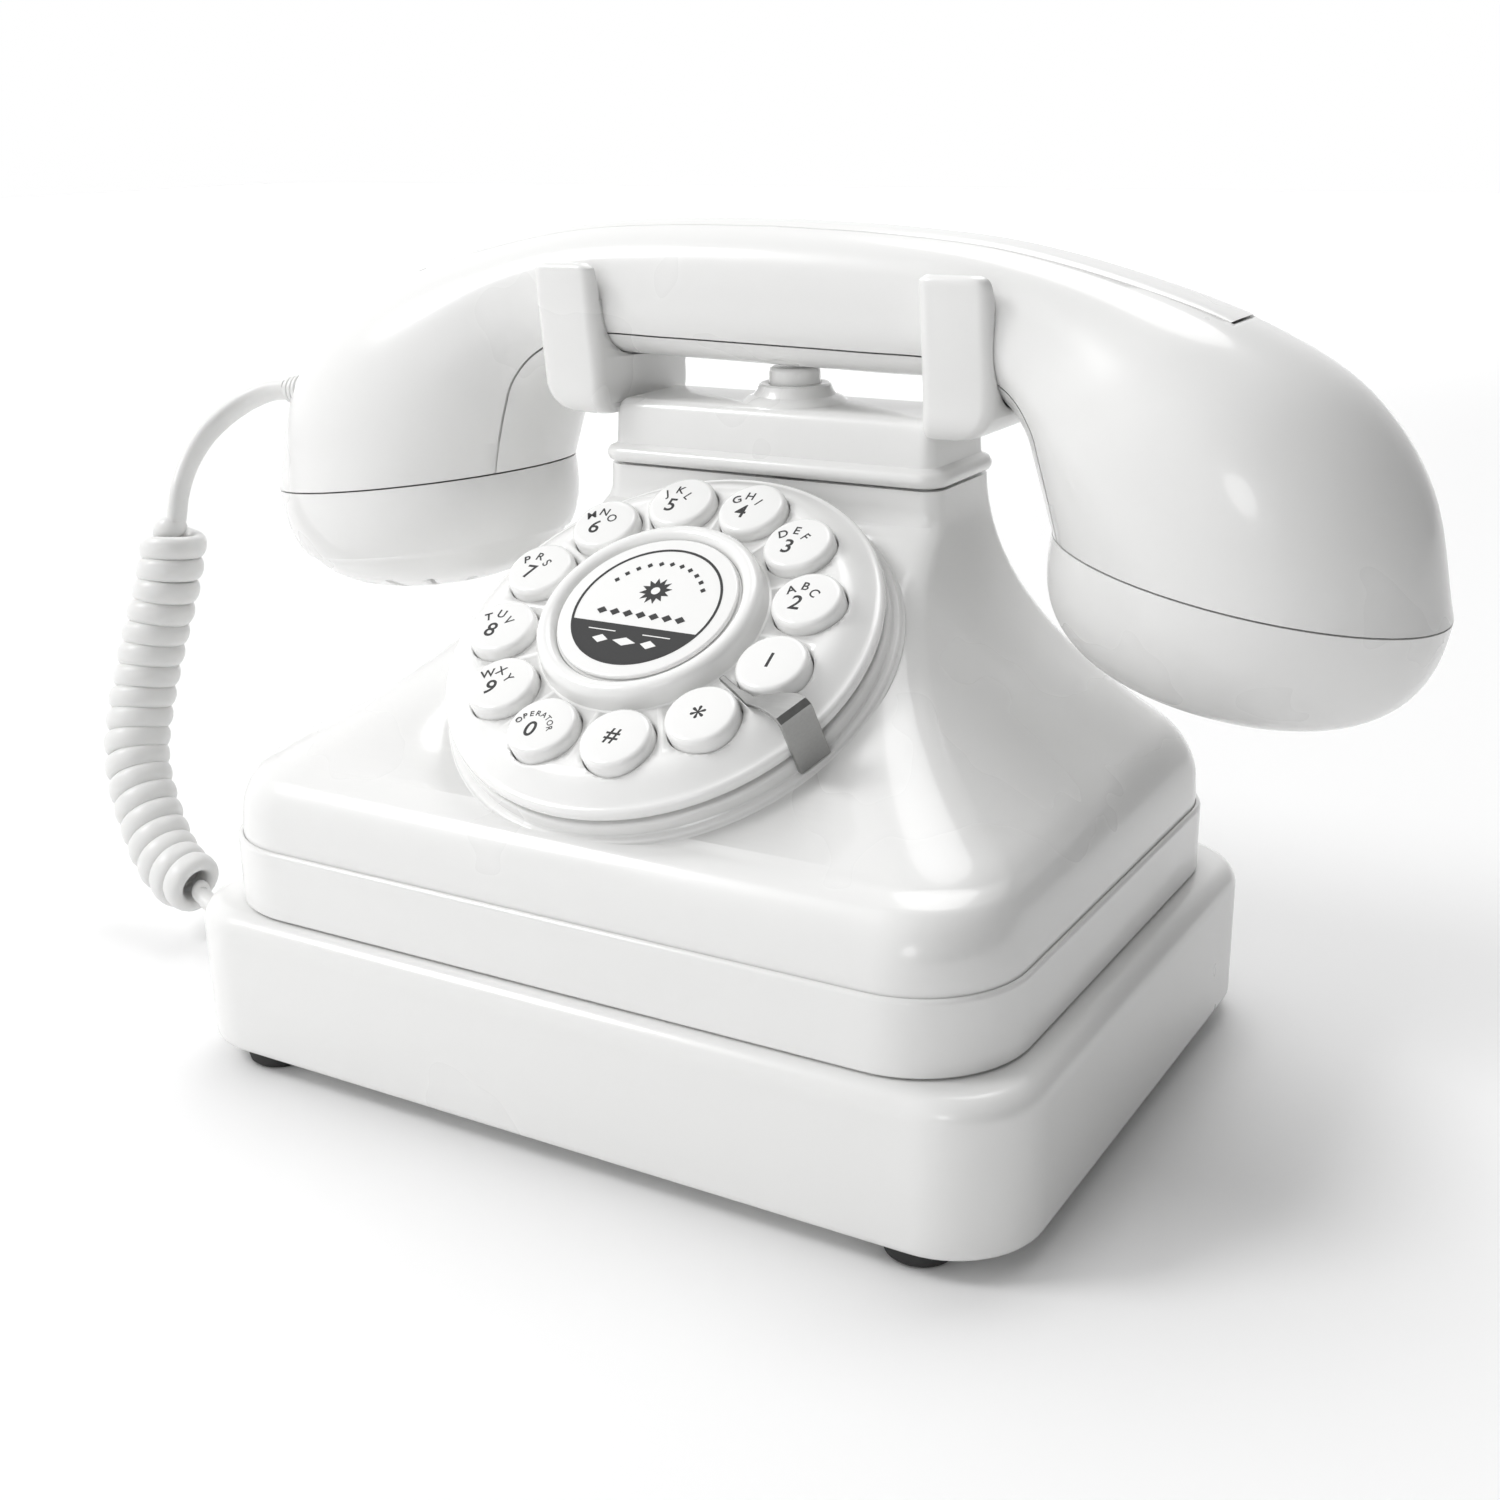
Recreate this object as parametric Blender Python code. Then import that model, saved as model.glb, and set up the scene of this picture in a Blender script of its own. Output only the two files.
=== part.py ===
"""Retro desk telephone with a raised cradle, a push-button dial and a lift-off handset.

Blender 4.5, metres, +Z up. The phone stands on z = 0, its dial faces -Y and its keypad
works like a rotary dial to the eye only: twelve round keys stand in a fixed round plate.
"""

import math

import bmesh
import bpy
from mathutils import Vector
from mathutils.geometry import interpolate_bezier

MM = 0.001
GAP = 0.3 * MM  # between two pieces that meet

# Base: the tray below and the housing that stands in it
FOOT_HEIGHT = 3.5 * MM
FOOT_RADIUS = 5.8 * MM
FOOT_INSET = 16.5 * MM  # foot centre from the tray's ends
FOOT_INSET_DEPTH = 8 * MM  # foot centre from the tray's front and back
TRAY_WIDTH = 160 * MM
TRAY_DEPTH = 116.6 * MM
TRAY_CORNER = 15 * MM
TRAY_HEIGHT = 25.9 * MM
TRAY_EDGE = 4 * MM  # rounding of the tray's top edge
WALL = 2.4 * MM
HOUSING_WIDTH = 148.7 * MM
HOUSING_DEPTH = 110.7 * MM
HOUSING_CORNER = 18.2 * MM
BAND_HEIGHT = 12.6 * MM  # upright band below the shoulder
LIP = 0.8 * MM  # the band stands this far outside the shoulder
BOARD_LEVEL = 8 * MM  # underside of the main board
BOARD_HALF_X = 30 * MM
BOARD_HALF_Y = 26 * MM
BOARD_X = -12 * MM
JACK_HALF = 6.2 * MM
JACK_DEPTH = 13 * MM
LINE_JACK = "back"
CORD_JACK = "left"
TOWER_WIDTH = 67 * MM
TOWER_DEPTH = 23.4 * MM
TOWER_CORNER = 3.5 * MM
TOWER_Y = 27.3 * MM  # middle of the tower, the cradle and the handset
TOWER_TOP = 95.2 * MM  # above the tray's underside

# Dial
DIAL_TILT = math.radians(32.2)  # the dial's face from the horizontal
DIAL_Y = -22.9 * MM
DIAL_Z = 81.2 * MM  # badge above the tray's underside
PLATE_RADIUS = 37.9 * MM
PLATE_THICKNESS = 2.4 * MM
PLATE_DROP = 6.7 * MM  # plate's rim below the badge's face
PLATE_CROWN = 2.7 * MM  # its face round the keys stands this far above the rim
KEY_CIRCLE = 26.7 * MM
KEY_RADIUS = 6 * MM
KEY_DROP = 1.7 * MM  # key tops below the badge's face
KEY_TRAVEL = 1.5 * MM
KEY_CLEARANCE = 0.3 * MM
FIRST_KEY_ANGLE = math.radians(-44.2)
KEY_NAMES = ["star", "1", "2", "3", "4", "5", "6", "7", "8", "9", "0", "hash"]
HUB_RADIUS = 19.6 * MM
BADGE_RADIUS = 15.7 * MM
BADGE_THICKNESS = 1.1 * MM
BEZEL_RADIUS = 39.4 * MM
BEZEL_STEP_RADIUS = 38 * MM
BEZEL_CLEARANCE = 0.8 * MM  # under the plate
BEZEL_STEP = 2.5 * MM
BEZEL_RISE = 0.9 * MM  # lower step above the housing's slope
SEAT_RADIUS = 34 * MM  # bore that takes the mat and the key board
SEAT_LEDGE = 3 * MM
SEAT_WALL = 3.5 * MM
SEAT_FLOOR = 2.2 * MM
PLATE_BACK = -(PLATE_DROP + PLATE_THICKNESS)
KEY_FLANGE = 0.9 * MM
FLANGE_BACK = PLATE_BACK - GAP - KEY_FLANGE
MAT_TOP = FLANGE_BACK - KEY_TRAVEL - GAP
MAT_THICKNESS = 1.2 * MM
KEY_BOARD_TOP = MAT_TOP - MAT_THICKNESS - GAP
KEY_BOARD_BACK = KEY_BOARD_TOP - 1.6 * MM
KEY_SEAT = KEY_BOARD_BACK - GAP
STOP_ANGLE = math.radians(-29.2)  # round the dial
STOP_THICKNESS = 0.9 * MM
STOP_LEVEL = -0.95 * MM  # underside of its broad end, from the badge's face
STOP_WIDTH = 5.9 * MM
STOP_OFFSET = 0.3 * MM  # how far it reaches clockwise of its own angle

# Cradle
BEAD_RADIUS = 1.5 * MM
BLOCK_TOP = 107 * MM  # above the tray's underside
PRONG_TOP = 131.3 * MM
PRONG_OUTER_X = 44.5 * MM
PRONG_INNER_X = 31.6 * MM
PRONG_DEPTH = 15.3 * MM  # prong's outer face from the cradle's middle
PRONG_LEAN = 2.2 * MM  # its top stands this much further out
HOOK_RADIUS = 4.6 * MM
HOOK_TRAVEL = 4 * MM
SADDLE_CLEARANCE = 0.35 * MM
HOOK_FLANGE_TOP = BLOCK_TOP - WALL - 0.6 * MM - HOOK_TRAVEL - GAP
HOOK_FLANGE = 2 * MM
BRACKET_TOP = 84 * MM

# Handset
GRIP_UNDERSIDE = 113.6 * MM  # above the tray's underside
GRIP_THICKNESS = 24.5 * MM
GRIP_HALF_DEPTH = 13.4 * MM
HANDSET_SHIFT = -0.8 * MM  # how the handset lies in the cradle
HANDSET_ROLL = math.radians(1.0)
CUP_SPACING = 84.6 * MM  # cup centre from the handset's middle
CUP_HALF_WIDTH = 32.6 * MM
CUP_HALF_DEPTH = 26 * MM
CUP_DROP = 27.2 * MM  # cap joint below the grip's underside
CUP_TILT = math.radians(8.5)
CAP_DEPTH = 22.5 * MM
SHELL_WALL = 2.2 * MM
LOWER_SHELL = 4.6 * MM  # height of the lower shell's edge above the underside
SPINE_HALF_WIDTH = 5.6 * MM
SPINE_DEPTH = 1.4 * MM
SPINE_SHARE = 0.545  # its reach, as a share of the way to the cap joint
CAP_SQUARENESS = 2.7
HOLE_RING = [(0, 0)] + [(8.5 * MM, 60 * i) for i in range(6)]  # sound holes: reach and degrees
RELIEF_RADIUS = 3.6 * MM
RELIEF_PLACE = (-112.2 * MM, -1.5 * MM, -13.2 * MM)
RELIEF_TURN = math.radians(-93)
RELIEF_SEAT = 0.9 * MM  # collar above the shell

# Cord: a flat cord wound into a curly one
CORD_RADIUS = 2.2 * MM
COIL_RADIUS = 6.7 * MM
JACK_Y = -22 * MM
JACK_Z = 13 * MM

# The route of the cord's centre, above the surface that the phone stands on
TAIL_ROUTE = [
    (-120.45, 25.8, 105.6), (-125.5, 25.4, 105), (-130.3, 23.5, 103), (-133.7, 19.5, 99.8), (-135, 14.5, 96),
    (-134.8, 9.5, 91.5), (-134, 5.6, 86.6), (-133.97, 3.72, 80.93),
]
COIL_ROUTE = [
    (-134, 3.6, 80.5), (-134.8, 0.5, 69), (-137, -3.5, 56), (-138, -8, 43), (-136.5, -12, 33),
    (-131, -15.5, 23.5), (-122.5, -19, 15), (-111.5, -21.5, 10.8),
]
LOWER_ROUTE = [
    (-111.09, -21.59, 10.64), (-107.4, -22.4, 9.3), (-103.4, -22.6, 9.8), (-99.8, -22.3, 12.6), (-96.9, -22, 16),
    (-93.2, -22, 16.5),
]


# ---------------------------------------------------------------- helpers

def clear_scene():
    for obj in list(bpy.data.objects):
        bpy.data.objects.remove(obj, do_unlink=True)


def plastic(name, colour, roughness, metallic=0.0):
    """A material with one plain finish."""
    material = bpy.data.materials.new(name)
    material.use_nodes = True
    shader = material.node_tree.nodes["Principled BSDF"]
    shader.inputs["Base Color"].default_value = (*colour, 1.0)
    shader.inputs["Roughness"].default_value = roughness
    shader.inputs["Metallic"].default_value = metallic
    material.diffuse_color = (*colour, 1.0)
    return material


def add_object(name, bm, material=None, parent=None, location=(0, 0, 0), smooth=30):
    """Turns a bmesh into a named object with outward faces."""
    bmesh.ops.recalc_face_normals(bm, faces=bm.faces)
    mesh = bpy.data.meshes.new(name)
    bm.to_mesh(mesh)
    bm.free()
    mesh.shade_smooth()
    mesh.set_sharp_from_angle(angle=math.radians(smooth))
    obj = bpy.data.objects.new(name, mesh)
    bpy.context.scene.collection.objects.link(obj)
    obj.location = location
    obj.parent = parent
    if material:
        mesh.materials.append(material)
    return obj


def add_datum(name, parent=None, location=(0, 0, 0), rotation=(0, 0, 0)):
    """An empty that carries a group of pieces."""
    datum = bpy.data.objects.new(name, None)
    bpy.context.scene.collection.objects.link(datum)
    datum.parent = parent
    datum.location = location
    datum.rotation_euler = rotation
    return datum


def combine(obj, cutter, operation):
    """A live exact Boolean; the cutter is only a guide."""
    cutter.hide_render = True
    cutter.display_type = "WIRE"
    modifier = obj.modifiers.new(cutter.name, "BOOLEAN")
    modifier.operation = operation
    modifier.solver = "EXACT"
    modifier.object = cutter


def cut(obj, cutter):
    combine(obj, cutter, "DIFFERENCE")


def join(obj, other):
    combine(obj, other, "UNION")


def loft(bm, rings):
    """Closed skin through rings of equally many points, with flat ends."""
    rows = [[bm.verts.new(point) for point in ring] for ring in rings]
    count = len(rows[0])
    for low, high in zip(rows, rows[1:]):
        for i in range(count):
            j = (i + 1) % count
            bm.faces.new((low[i], low[j], high[j], high[i]))
    bm.faces.new(rows[0][::-1])
    bm.faces.new(rows[-1])


def rounded_rectangle(x_low, x_high, y_low, y_high, radius, steps=4):
    """Corner arcs of a rectangle, anticlockwise, as (x, y) pairs."""
    points = []
    corners = [(x_high, y_low, -90), (x_high, y_high, 0), (x_low, y_high, 90), (x_low, y_low, 180)]
    for x, y, start in corners:
        centre_x = x - math.copysign(radius, x - (x_low + x_high) / 2)
        centre_y = y - math.copysign(radius, y - (y_low + y_high) / 2)
        for i in range(steps + 1):
            angle = math.radians(start + 90 * i / steps)
            points.append((centre_x + radius * math.cos(angle), centre_y + radius * math.sin(angle)))
    return points


def block(bm, x_low, x_high, y_low, y_high, levels, radius, steps=4):
    """Stack of rounded rectangles; levels are (z, inset) pairs."""
    rings = []
    for z, inset in levels:
        outline = rounded_rectangle(
            x_low + inset, x_high - inset, y_low + inset, y_high - inset, max(radius - inset, 0.3 * MM), steps
        )
        rings.append([(x, y, z) for x, y in outline])
    loft(bm, rings)


def box(bm, low, high):
    block(bm, low[0], high[0], low[1], high[1], [(low[2], 0), (high[2], 0)], 0.4 * MM, 2)


def turned(bm, profile, segments, centre=(0, 0)):
    """A turned solid: profile runs (radius, z) from the axis to the axis, bottom first."""
    rows = []
    for radius, z in profile:
        if radius == 0:
            rows.append([bm.verts.new((centre[0], centre[1], z))])
            continue
        row = []
        for i in range(segments):
            angle = 2 * math.pi * i / segments
            x = centre[0] + radius * math.cos(angle)
            y = centre[1] + radius * math.sin(angle)
            row.append(bm.verts.new((x, y, z)))
        rows.append(row)
    for low, high in zip(rows, rows[1:] + rows[:1]):
        if len(low) == 1 and len(high) == 1:
            continue
        for i in range(segments):
            j = (i + 1) % segments
            if len(low) == 1:
                bm.faces.new((low[0], high[j], high[i]))
            elif len(high) == 1:
                bm.faces.new((low[i], low[j], high[0]))
            else:
                bm.faces.new((low[i], low[j], high[j], high[i]))


def disc(bm, radius, low, high, segments, centre=(0, 0)):
    turned(bm, [(0, low), (radius, low), (radius, high), (0, high)], segments, centre)


def solid(name, build, material=None, parent=None, location=(0, 0, 0), smooth=30):
    """Runs a builder on a fresh bmesh and makes its object."""
    bm = bmesh.new()
    build(bm)
    return add_object(name, bm, material, parent, location, smooth)


def smooth_between(points, share):
    """Catmull-Rom point at a share, 0 to 1, of a list of equally spaced tuples."""
    place = share * (len(points) - 1)
    i = min(int(place), len(points) - 2)
    t = place - i
    before = points[i - 1] if i else [2 * a - b for a, b in zip(points[0], points[1])]
    after = points[i + 2] if i + 2 < len(points) else [2 * a - b for a, b in zip(points[-1], points[-2])]
    result = []
    for a, b, c, d in zip(before, points[i], points[i + 1], after):
        curve = 2 * b + (c - a) * t + (2 * a - 5 * b + 4 * c - d) * t**2 + (3 * b - a - 3 * c + d) * t**3
        result.append(curve / 2)
    return result


# ---------------------------------------------------------------- base

def side_profile(inset):
    """Half-width of the housing against height, from the tower's top to the shoulder."""
    top = Vector((TOWER_WIDTH / 2 - inset, TOWER_TOP - inset, 0))
    sweep_end = Vector((HOUSING_WIDTH / 2 - 8 * MM - inset, TRAY_HEIGHT + BAND_HEIGHT + 14.6 * MM - inset / 2, 0))
    shoulder = Vector((HOUSING_WIDTH / 2 - LIP - inset, TRAY_HEIGHT + BAND_HEIGHT, 0))
    sweep = interpolate_bezier(
        top, top + Vector((0.6 * MM, -20 * MM, 0)), sweep_end + Vector((-16 * MM, 9.5 * MM, 0)), sweep_end, 10
    )
    turn = interpolate_bezier(
        sweep_end, sweep_end + Vector((5 * MM, -3 * MM, 0)), shoulder + Vector((-0.4 * MM, 7 * MM, 0)), shoulder, 6
    )
    return [(p.x, p.y) for p in sweep[:-1] + turn]


def share_down(z):
    """0 at the tower's top and 1 at the shoulder's foot."""
    return max(0.0, (TOWER_TOP - z) / (TOWER_TOP - TRAY_HEIGHT - BAND_HEIGHT))


def slope_y(z):
    """The dial's slope: y of the front surface at a height."""
    drop = PLATE_DROP + PLATE_THICKNESS + BEZEL_CLEARANCE + BEZEL_STEP + BEZEL_RISE
    foot_y = DIAL_Y + drop * math.sin(DIAL_TILT)
    foot_z = DIAL_Z - drop * math.cos(DIAL_TILT)
    return foot_y + (z - foot_z) / math.tan(DIAL_TILT)


def housing_section(half_width, z, inset):
    """Outline of the housing at one height, as (x, y, z) points."""
    share = share_down(z)
    band_front = -HOUSING_DEPTH / 2 + LIP
    front = min(TOWER_Y - TOWER_DEPTH / 2, max(slope_y(z), band_front))
    if z < TRAY_HEIGHT + BAND_HEIGHT + 13 * MM:
        rise = (z - TRAY_HEIGHT - BAND_HEIGHT) / (13 * MM)
        front = band_front + 9.4 * MM * (1 - math.sqrt(max(0.0, 1 - rise**2)))
        front = max(front, slope_y(z)) if rise > 0.9 else front
    back = TOWER_Y + TOWER_DEPTH / 2
    back += (HOUSING_DEPTH / 2 - LIP - back) * min(1, share * 1.12) ** 1.5
    corner = TOWER_CORNER + (HOUSING_CORNER - LIP - TOWER_CORNER) * min(1, share * 1.05) ** 1.6
    outline = rounded_rectangle(-half_width, half_width, front + inset, back - inset, max(corner - inset, 1 * MM))
    return [(x, y, z) for x, y in outline]


def housing_rings(inset, foot):
    """Rings from the housing's foot up to the top of its tower."""
    half_width = HOUSING_WIDTH / 2 - inset
    half_depth = HOUSING_DEPTH / 2 - inset
    band_top = TRAY_HEIGHT + BAND_HEIGHT
    rings = []
    for z, step in [(foot, 0), (band_top - LIP, 0), (band_top - 0.2 * MM, LIP * 0.4)]:
        outline = rounded_rectangle(
            -half_width + step, half_width - step, -half_depth + step, half_depth - step, HOUSING_CORNER - inset - step
        )
        rings.append([(x, y, z) for x, y in outline])
    for half, z in reversed(side_profile(inset)):
        rings.append(housing_section(half, z, inset))
    return rings


def make_tray(base, white):
    half_x, half_y = TRAY_WIDTH / 2, TRAY_DEPTH / 2
    levels = [(0, 1.6 * MM), (0.5 * MM, 0.5 * MM), (1.6 * MM, 0)]
    for i in range(5):
        angle = math.radians(90 * i / 4)
        levels.append((TRAY_HEIGHT - TRAY_EDGE * (1 - math.sin(angle)), TRAY_EDGE * (1 - math.cos(angle))))
    tray = solid("base_tray", lambda bm: block(bm, -half_x, half_x, -half_y, half_y, levels, TRAY_CORNER), white, base)

    inner_x, inner_y = half_x - WALL, half_y - WALL
    floor_top = WALL
    roof = TRAY_HEIGHT - TRAY_EDGE * 0.8
    cut(tray, solid("tray_hollow", lambda bm: block(
        bm, -inner_x, inner_x, -inner_y, inner_y, [(floor_top, 0), (roof, 0), (roof + 0.01 * MM, 6 * MM)],
        TRAY_CORNER - WALL), None, base))
    mouth_x, mouth_y = HOUSING_WIDTH / 2 - WALL - 1.5 * MM, HOUSING_DEPTH / 2 - WALL - 1.5 * MM
    cut(tray, solid("tray_mouth", lambda bm: block(
        bm, -mouth_x, mouth_x, -mouth_y, mouth_y, [(floor_top + 2 * MM, 0), (TRAY_HEIGHT + 1 * MM, 0)],
        HOUSING_CORNER - WALL), None, base))

    def posts(bm):
        for x, y in board_post_places():
            disc(bm, 3 * MM, floor_top - 0.5 * MM, BOARD_LEVEL - GAP, 16, (x, y))

    join(tray, solid("tray_posts", posts, None, base))

    def holes(bm):
        for x, y in housing_post_places():
            disc(bm, 1.9 * MM, -1 * MM, WALL + 1 * MM, 16, (x, y))
        for x, y in board_post_places():
            disc(bm, 1.3 * MM, WALL + 1 * MM, BOARD_LEVEL + 1 * MM, 12, (x, y))

    cut(tray, solid("tray_screw_holes", holes, None, base))
    clear = GAP
    low, high = jack_box(LINE_JACK)
    cut(tray, solid("line_jack_window", lambda bm: box(
        bm, (low[0] - clear, low[1] - clear, low[2] - clear), (high[0] + clear, high[1] + 5 * MM, high[2] + clear)),
        None, base))
    low, high = jack_box(CORD_JACK)
    cut(tray, solid("cord_jack_window", lambda bm: box(
        bm, (low[0] - 5 * MM, low[1] - clear, low[2] - clear), (high[0] + clear, high[1] + clear, high[2] + clear)),
        None, base))
    return tray


def jack_box(side):
    """Corners of a modular jack in the tray's back or left wall."""
    if side == LINE_JACK:
        outer = TRAY_DEPTH / 2 - 0.4 * MM
        return (-JACK_HALF, outer - JACK_DEPTH, JACK_Z - JACK_HALF), (JACK_HALF, outer, JACK_Z + JACK_HALF)
    outer = -TRAY_WIDTH / 2 + 0.4 * MM
    return (
        (outer, JACK_Y - JACK_HALF, JACK_Z - JACK_HALF),
        (outer + JACK_DEPTH, JACK_Y + JACK_HALF, JACK_Z + JACK_HALF),
    )


def board_post_places():
    return [(BOARD_X + i * (BOARD_HALF_X - 4 * MM), j * (BOARD_HALF_Y - 4 * MM)) for i in (-1, 1) for j in (-1, 1)]


def housing_post_places():
    x, y = HOUSING_WIDTH / 2 - 20 * MM, HOUSING_DEPTH / 2 - 14 * MM
    return [(i * x, j * y) for i in (-1, 1) for j in (-1, 1)]


def dial_cylinder(name, radius, low, high, dial, segments=48):
    return solid(name, lambda bm: disc(bm, radius, low, high, segments), None, dial)


def make_housing(base, dial, white):
    foot = TRAY_HEIGHT + GAP
    housing = solid("upper_housing", lambda bm: loft(bm, housing_rings(0, foot)), white, base)
    step_top = PLATE_BACK - BEZEL_CLEARANCE
    bezel_top = step_top - BEZEL_STEP
    join(housing, dial_cylinder("bezel_lower", BEZEL_RADIUS, bezel_top - 8 * MM, bezel_top, dial, 56))
    join(housing, dial_cylinder("bezel_upper", BEZEL_STEP_RADIUS, bezel_top - 8 * MM, step_top, dial, 56))
    hollow = solid("housing_hollow", lambda bm: loft(bm, housing_rings(WALL, foot - 1 * MM)), None, base)

    def posts(bm, radius, low, high):
        for x, y in housing_post_places():
            disc(bm, radius, low, high, 20, (x, y))

    cut(hollow, solid("housing_post_tops", lambda bm: posts(bm, 3.8 * MM, foot - 2 * MM, TOWER_TOP), None, base))
    cut(housing, hollow)
    join(housing, solid("housing_posts", lambda bm: posts(bm, 3.6 * MM, WALL + GAP, foot + 6 * MM), None, base))
    join(housing, dial_cylinder("key_seat", SEAT_RADIUS + SEAT_WALL, KEY_SEAT - SEAT_FLOOR, bezel_top, dial))
    cut(housing, dial_cylinder("key_seat_bore", SEAT_RADIUS, KEY_SEAT, 5 * MM, dial))
    cut(housing, dial_cylinder("key_seat_hole", SEAT_RADIUS - SEAT_LEDGE, KEY_SEAT - 6 * MM, 0, dial))
    half_x, half_y = TOWER_WIDTH / 2 - 5.5 * MM, TOWER_DEPTH / 2 - 3.6 * MM
    cut(housing, solid("tower_mouth", lambda bm: block(
        bm, -half_x, half_x, TOWER_Y - half_y, TOWER_Y + half_y,
        [(TOWER_TOP - WALL - 2 * MM, 0), (TOWER_TOP + 2 * MM, 0)], 1.5 * MM), None, base))

    cut(housing, solid("housing_post_holes", lambda bm: posts(bm, 1.7 * MM, WALL - 1 * MM, TRAY_HEIGHT), None, base))
    return housing


def make_feet(base, rubber):
    profile = [
        (0, -FOOT_HEIGHT), (FOOT_RADIUS - 1 * MM, -FOOT_HEIGHT), (FOOT_RADIUS - 0.3 * MM, -FOOT_HEIGHT + 0.4 * MM),
        (FOOT_RADIUS, -FOOT_HEIGHT + 1.2 * MM), (FOOT_RADIUS + 0.3 * MM, -GAP), (0, -GAP),
    ]
    x, y = TRAY_WIDTH / 2 - FOOT_INSET, TRAY_DEPTH / 2 - FOOT_INSET_DEPTH
    for name, i, j in [("front_left", -1, -1), ("front_right", 1, -1), ("back_left", -1, 1), ("back_right", 1, 1)]:
        solid("foot_" + name, lambda bm: turned(bm, profile, 20), rubber, base, (i * x, j * y, 0))


def make_base_inside(base, board_green, black, steel, grey):
    board = solid("main_board", lambda bm: box(
        bm, (BOARD_X - BOARD_HALF_X, -BOARD_HALF_Y, BOARD_LEVEL),
        (BOARD_X + BOARD_HALF_X, BOARD_HALF_Y, BOARD_LEVEL + 1.6 * MM)), board_green, base)

    def holes(bm):
        for x, y in board_post_places():
            disc(bm, 1.6 * MM, BOARD_LEVEL - 1 * MM, BOARD_LEVEL + 3 * MM, 12, (x, y))

    cut(board, solid("board_holes", holes, None, base))

    top = BOARD_LEVEL + 1.6 * MM + GAP
    board_screw = [
        (0, top - 5 * MM), (1.0 * MM, top - 5 * MM), (1.0 * MM, top), (2.4 * MM, top), (2.4 * MM, top + 1.2 * MM),
        (0, top + 1.5 * MM),
    ]
    for number, (x, y) in enumerate(board_post_places()[::3], 1):
        solid(f"board_screw_{number}", lambda bm: turned(bm, board_screw, 12), steel, base, (x, y, 0))
    head = -GAP - 1.3 * MM
    base_screw = [
        (0, head), (2.2 * MM, head), (3.2 * MM, head + 0.6 * MM), (3.2 * MM, -GAP), (1.4 * MM, -GAP),
        (1.4 * MM, 12 * MM), (0, 12 * MM),
    ]
    for number, (x, y) in enumerate(housing_post_places(), 1):
        solid(f"base_screw_{number}", lambda bm: turned(bm, base_screw, 12), steel, base, (x, y, 0))

    speaker_profile = [
        (0, WALL + GAP), (19 * MM, WALL + GAP), (19 * MM, WALL + 3 * MM), (14 * MM, WALL + 5 * MM),
        (9 * MM, WALL + 5.5 * MM), (9 * MM, WALL + 9 * MM), (0, WALL + 9 * MM),
    ]
    solid("ring_speaker", lambda bm: turned(bm, speaker_profile, 24), black, base, (42 * MM, 6 * MM, 0))

    for name, side in [("line_jack", LINE_JACK), ("cord_jack", CORD_JACK)]:
        low, high = jack_box(side)
        jack = solid(name, lambda bm: box(bm, low, high), grey, base)
        mouth = 3.5 * MM if side == CORD_JACK else 4.8 * MM
        if side == LINE_JACK:
            mouth_box = ((-mouth, high[1] - 9 * MM, JACK_Z - 3.4 * MM), (mouth, high[1] + 2 * MM, JACK_Z + 3.4 * MM))
        else:
            mouth_box = (
                (low[0] - 2 * MM, JACK_Y - mouth, JACK_Z - 3.4 * MM),
                (low[0] + 9 * MM, JACK_Y + mouth, JACK_Z + 3.4 * MM),
            )
        cut(jack, solid(name + "_mouth", lambda bm: box(bm, *mouth_box), None, base))


# ---------------------------------------------------------------- dial

def key_places():
    for i, name in enumerate(KEY_NAMES):
        angle = FIRST_KEY_ANGLE + i * 2 * math.pi / len(KEY_NAMES)
        yield name, KEY_CIRCLE * math.cos(angle), KEY_CIRCLE * math.sin(angle)


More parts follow.
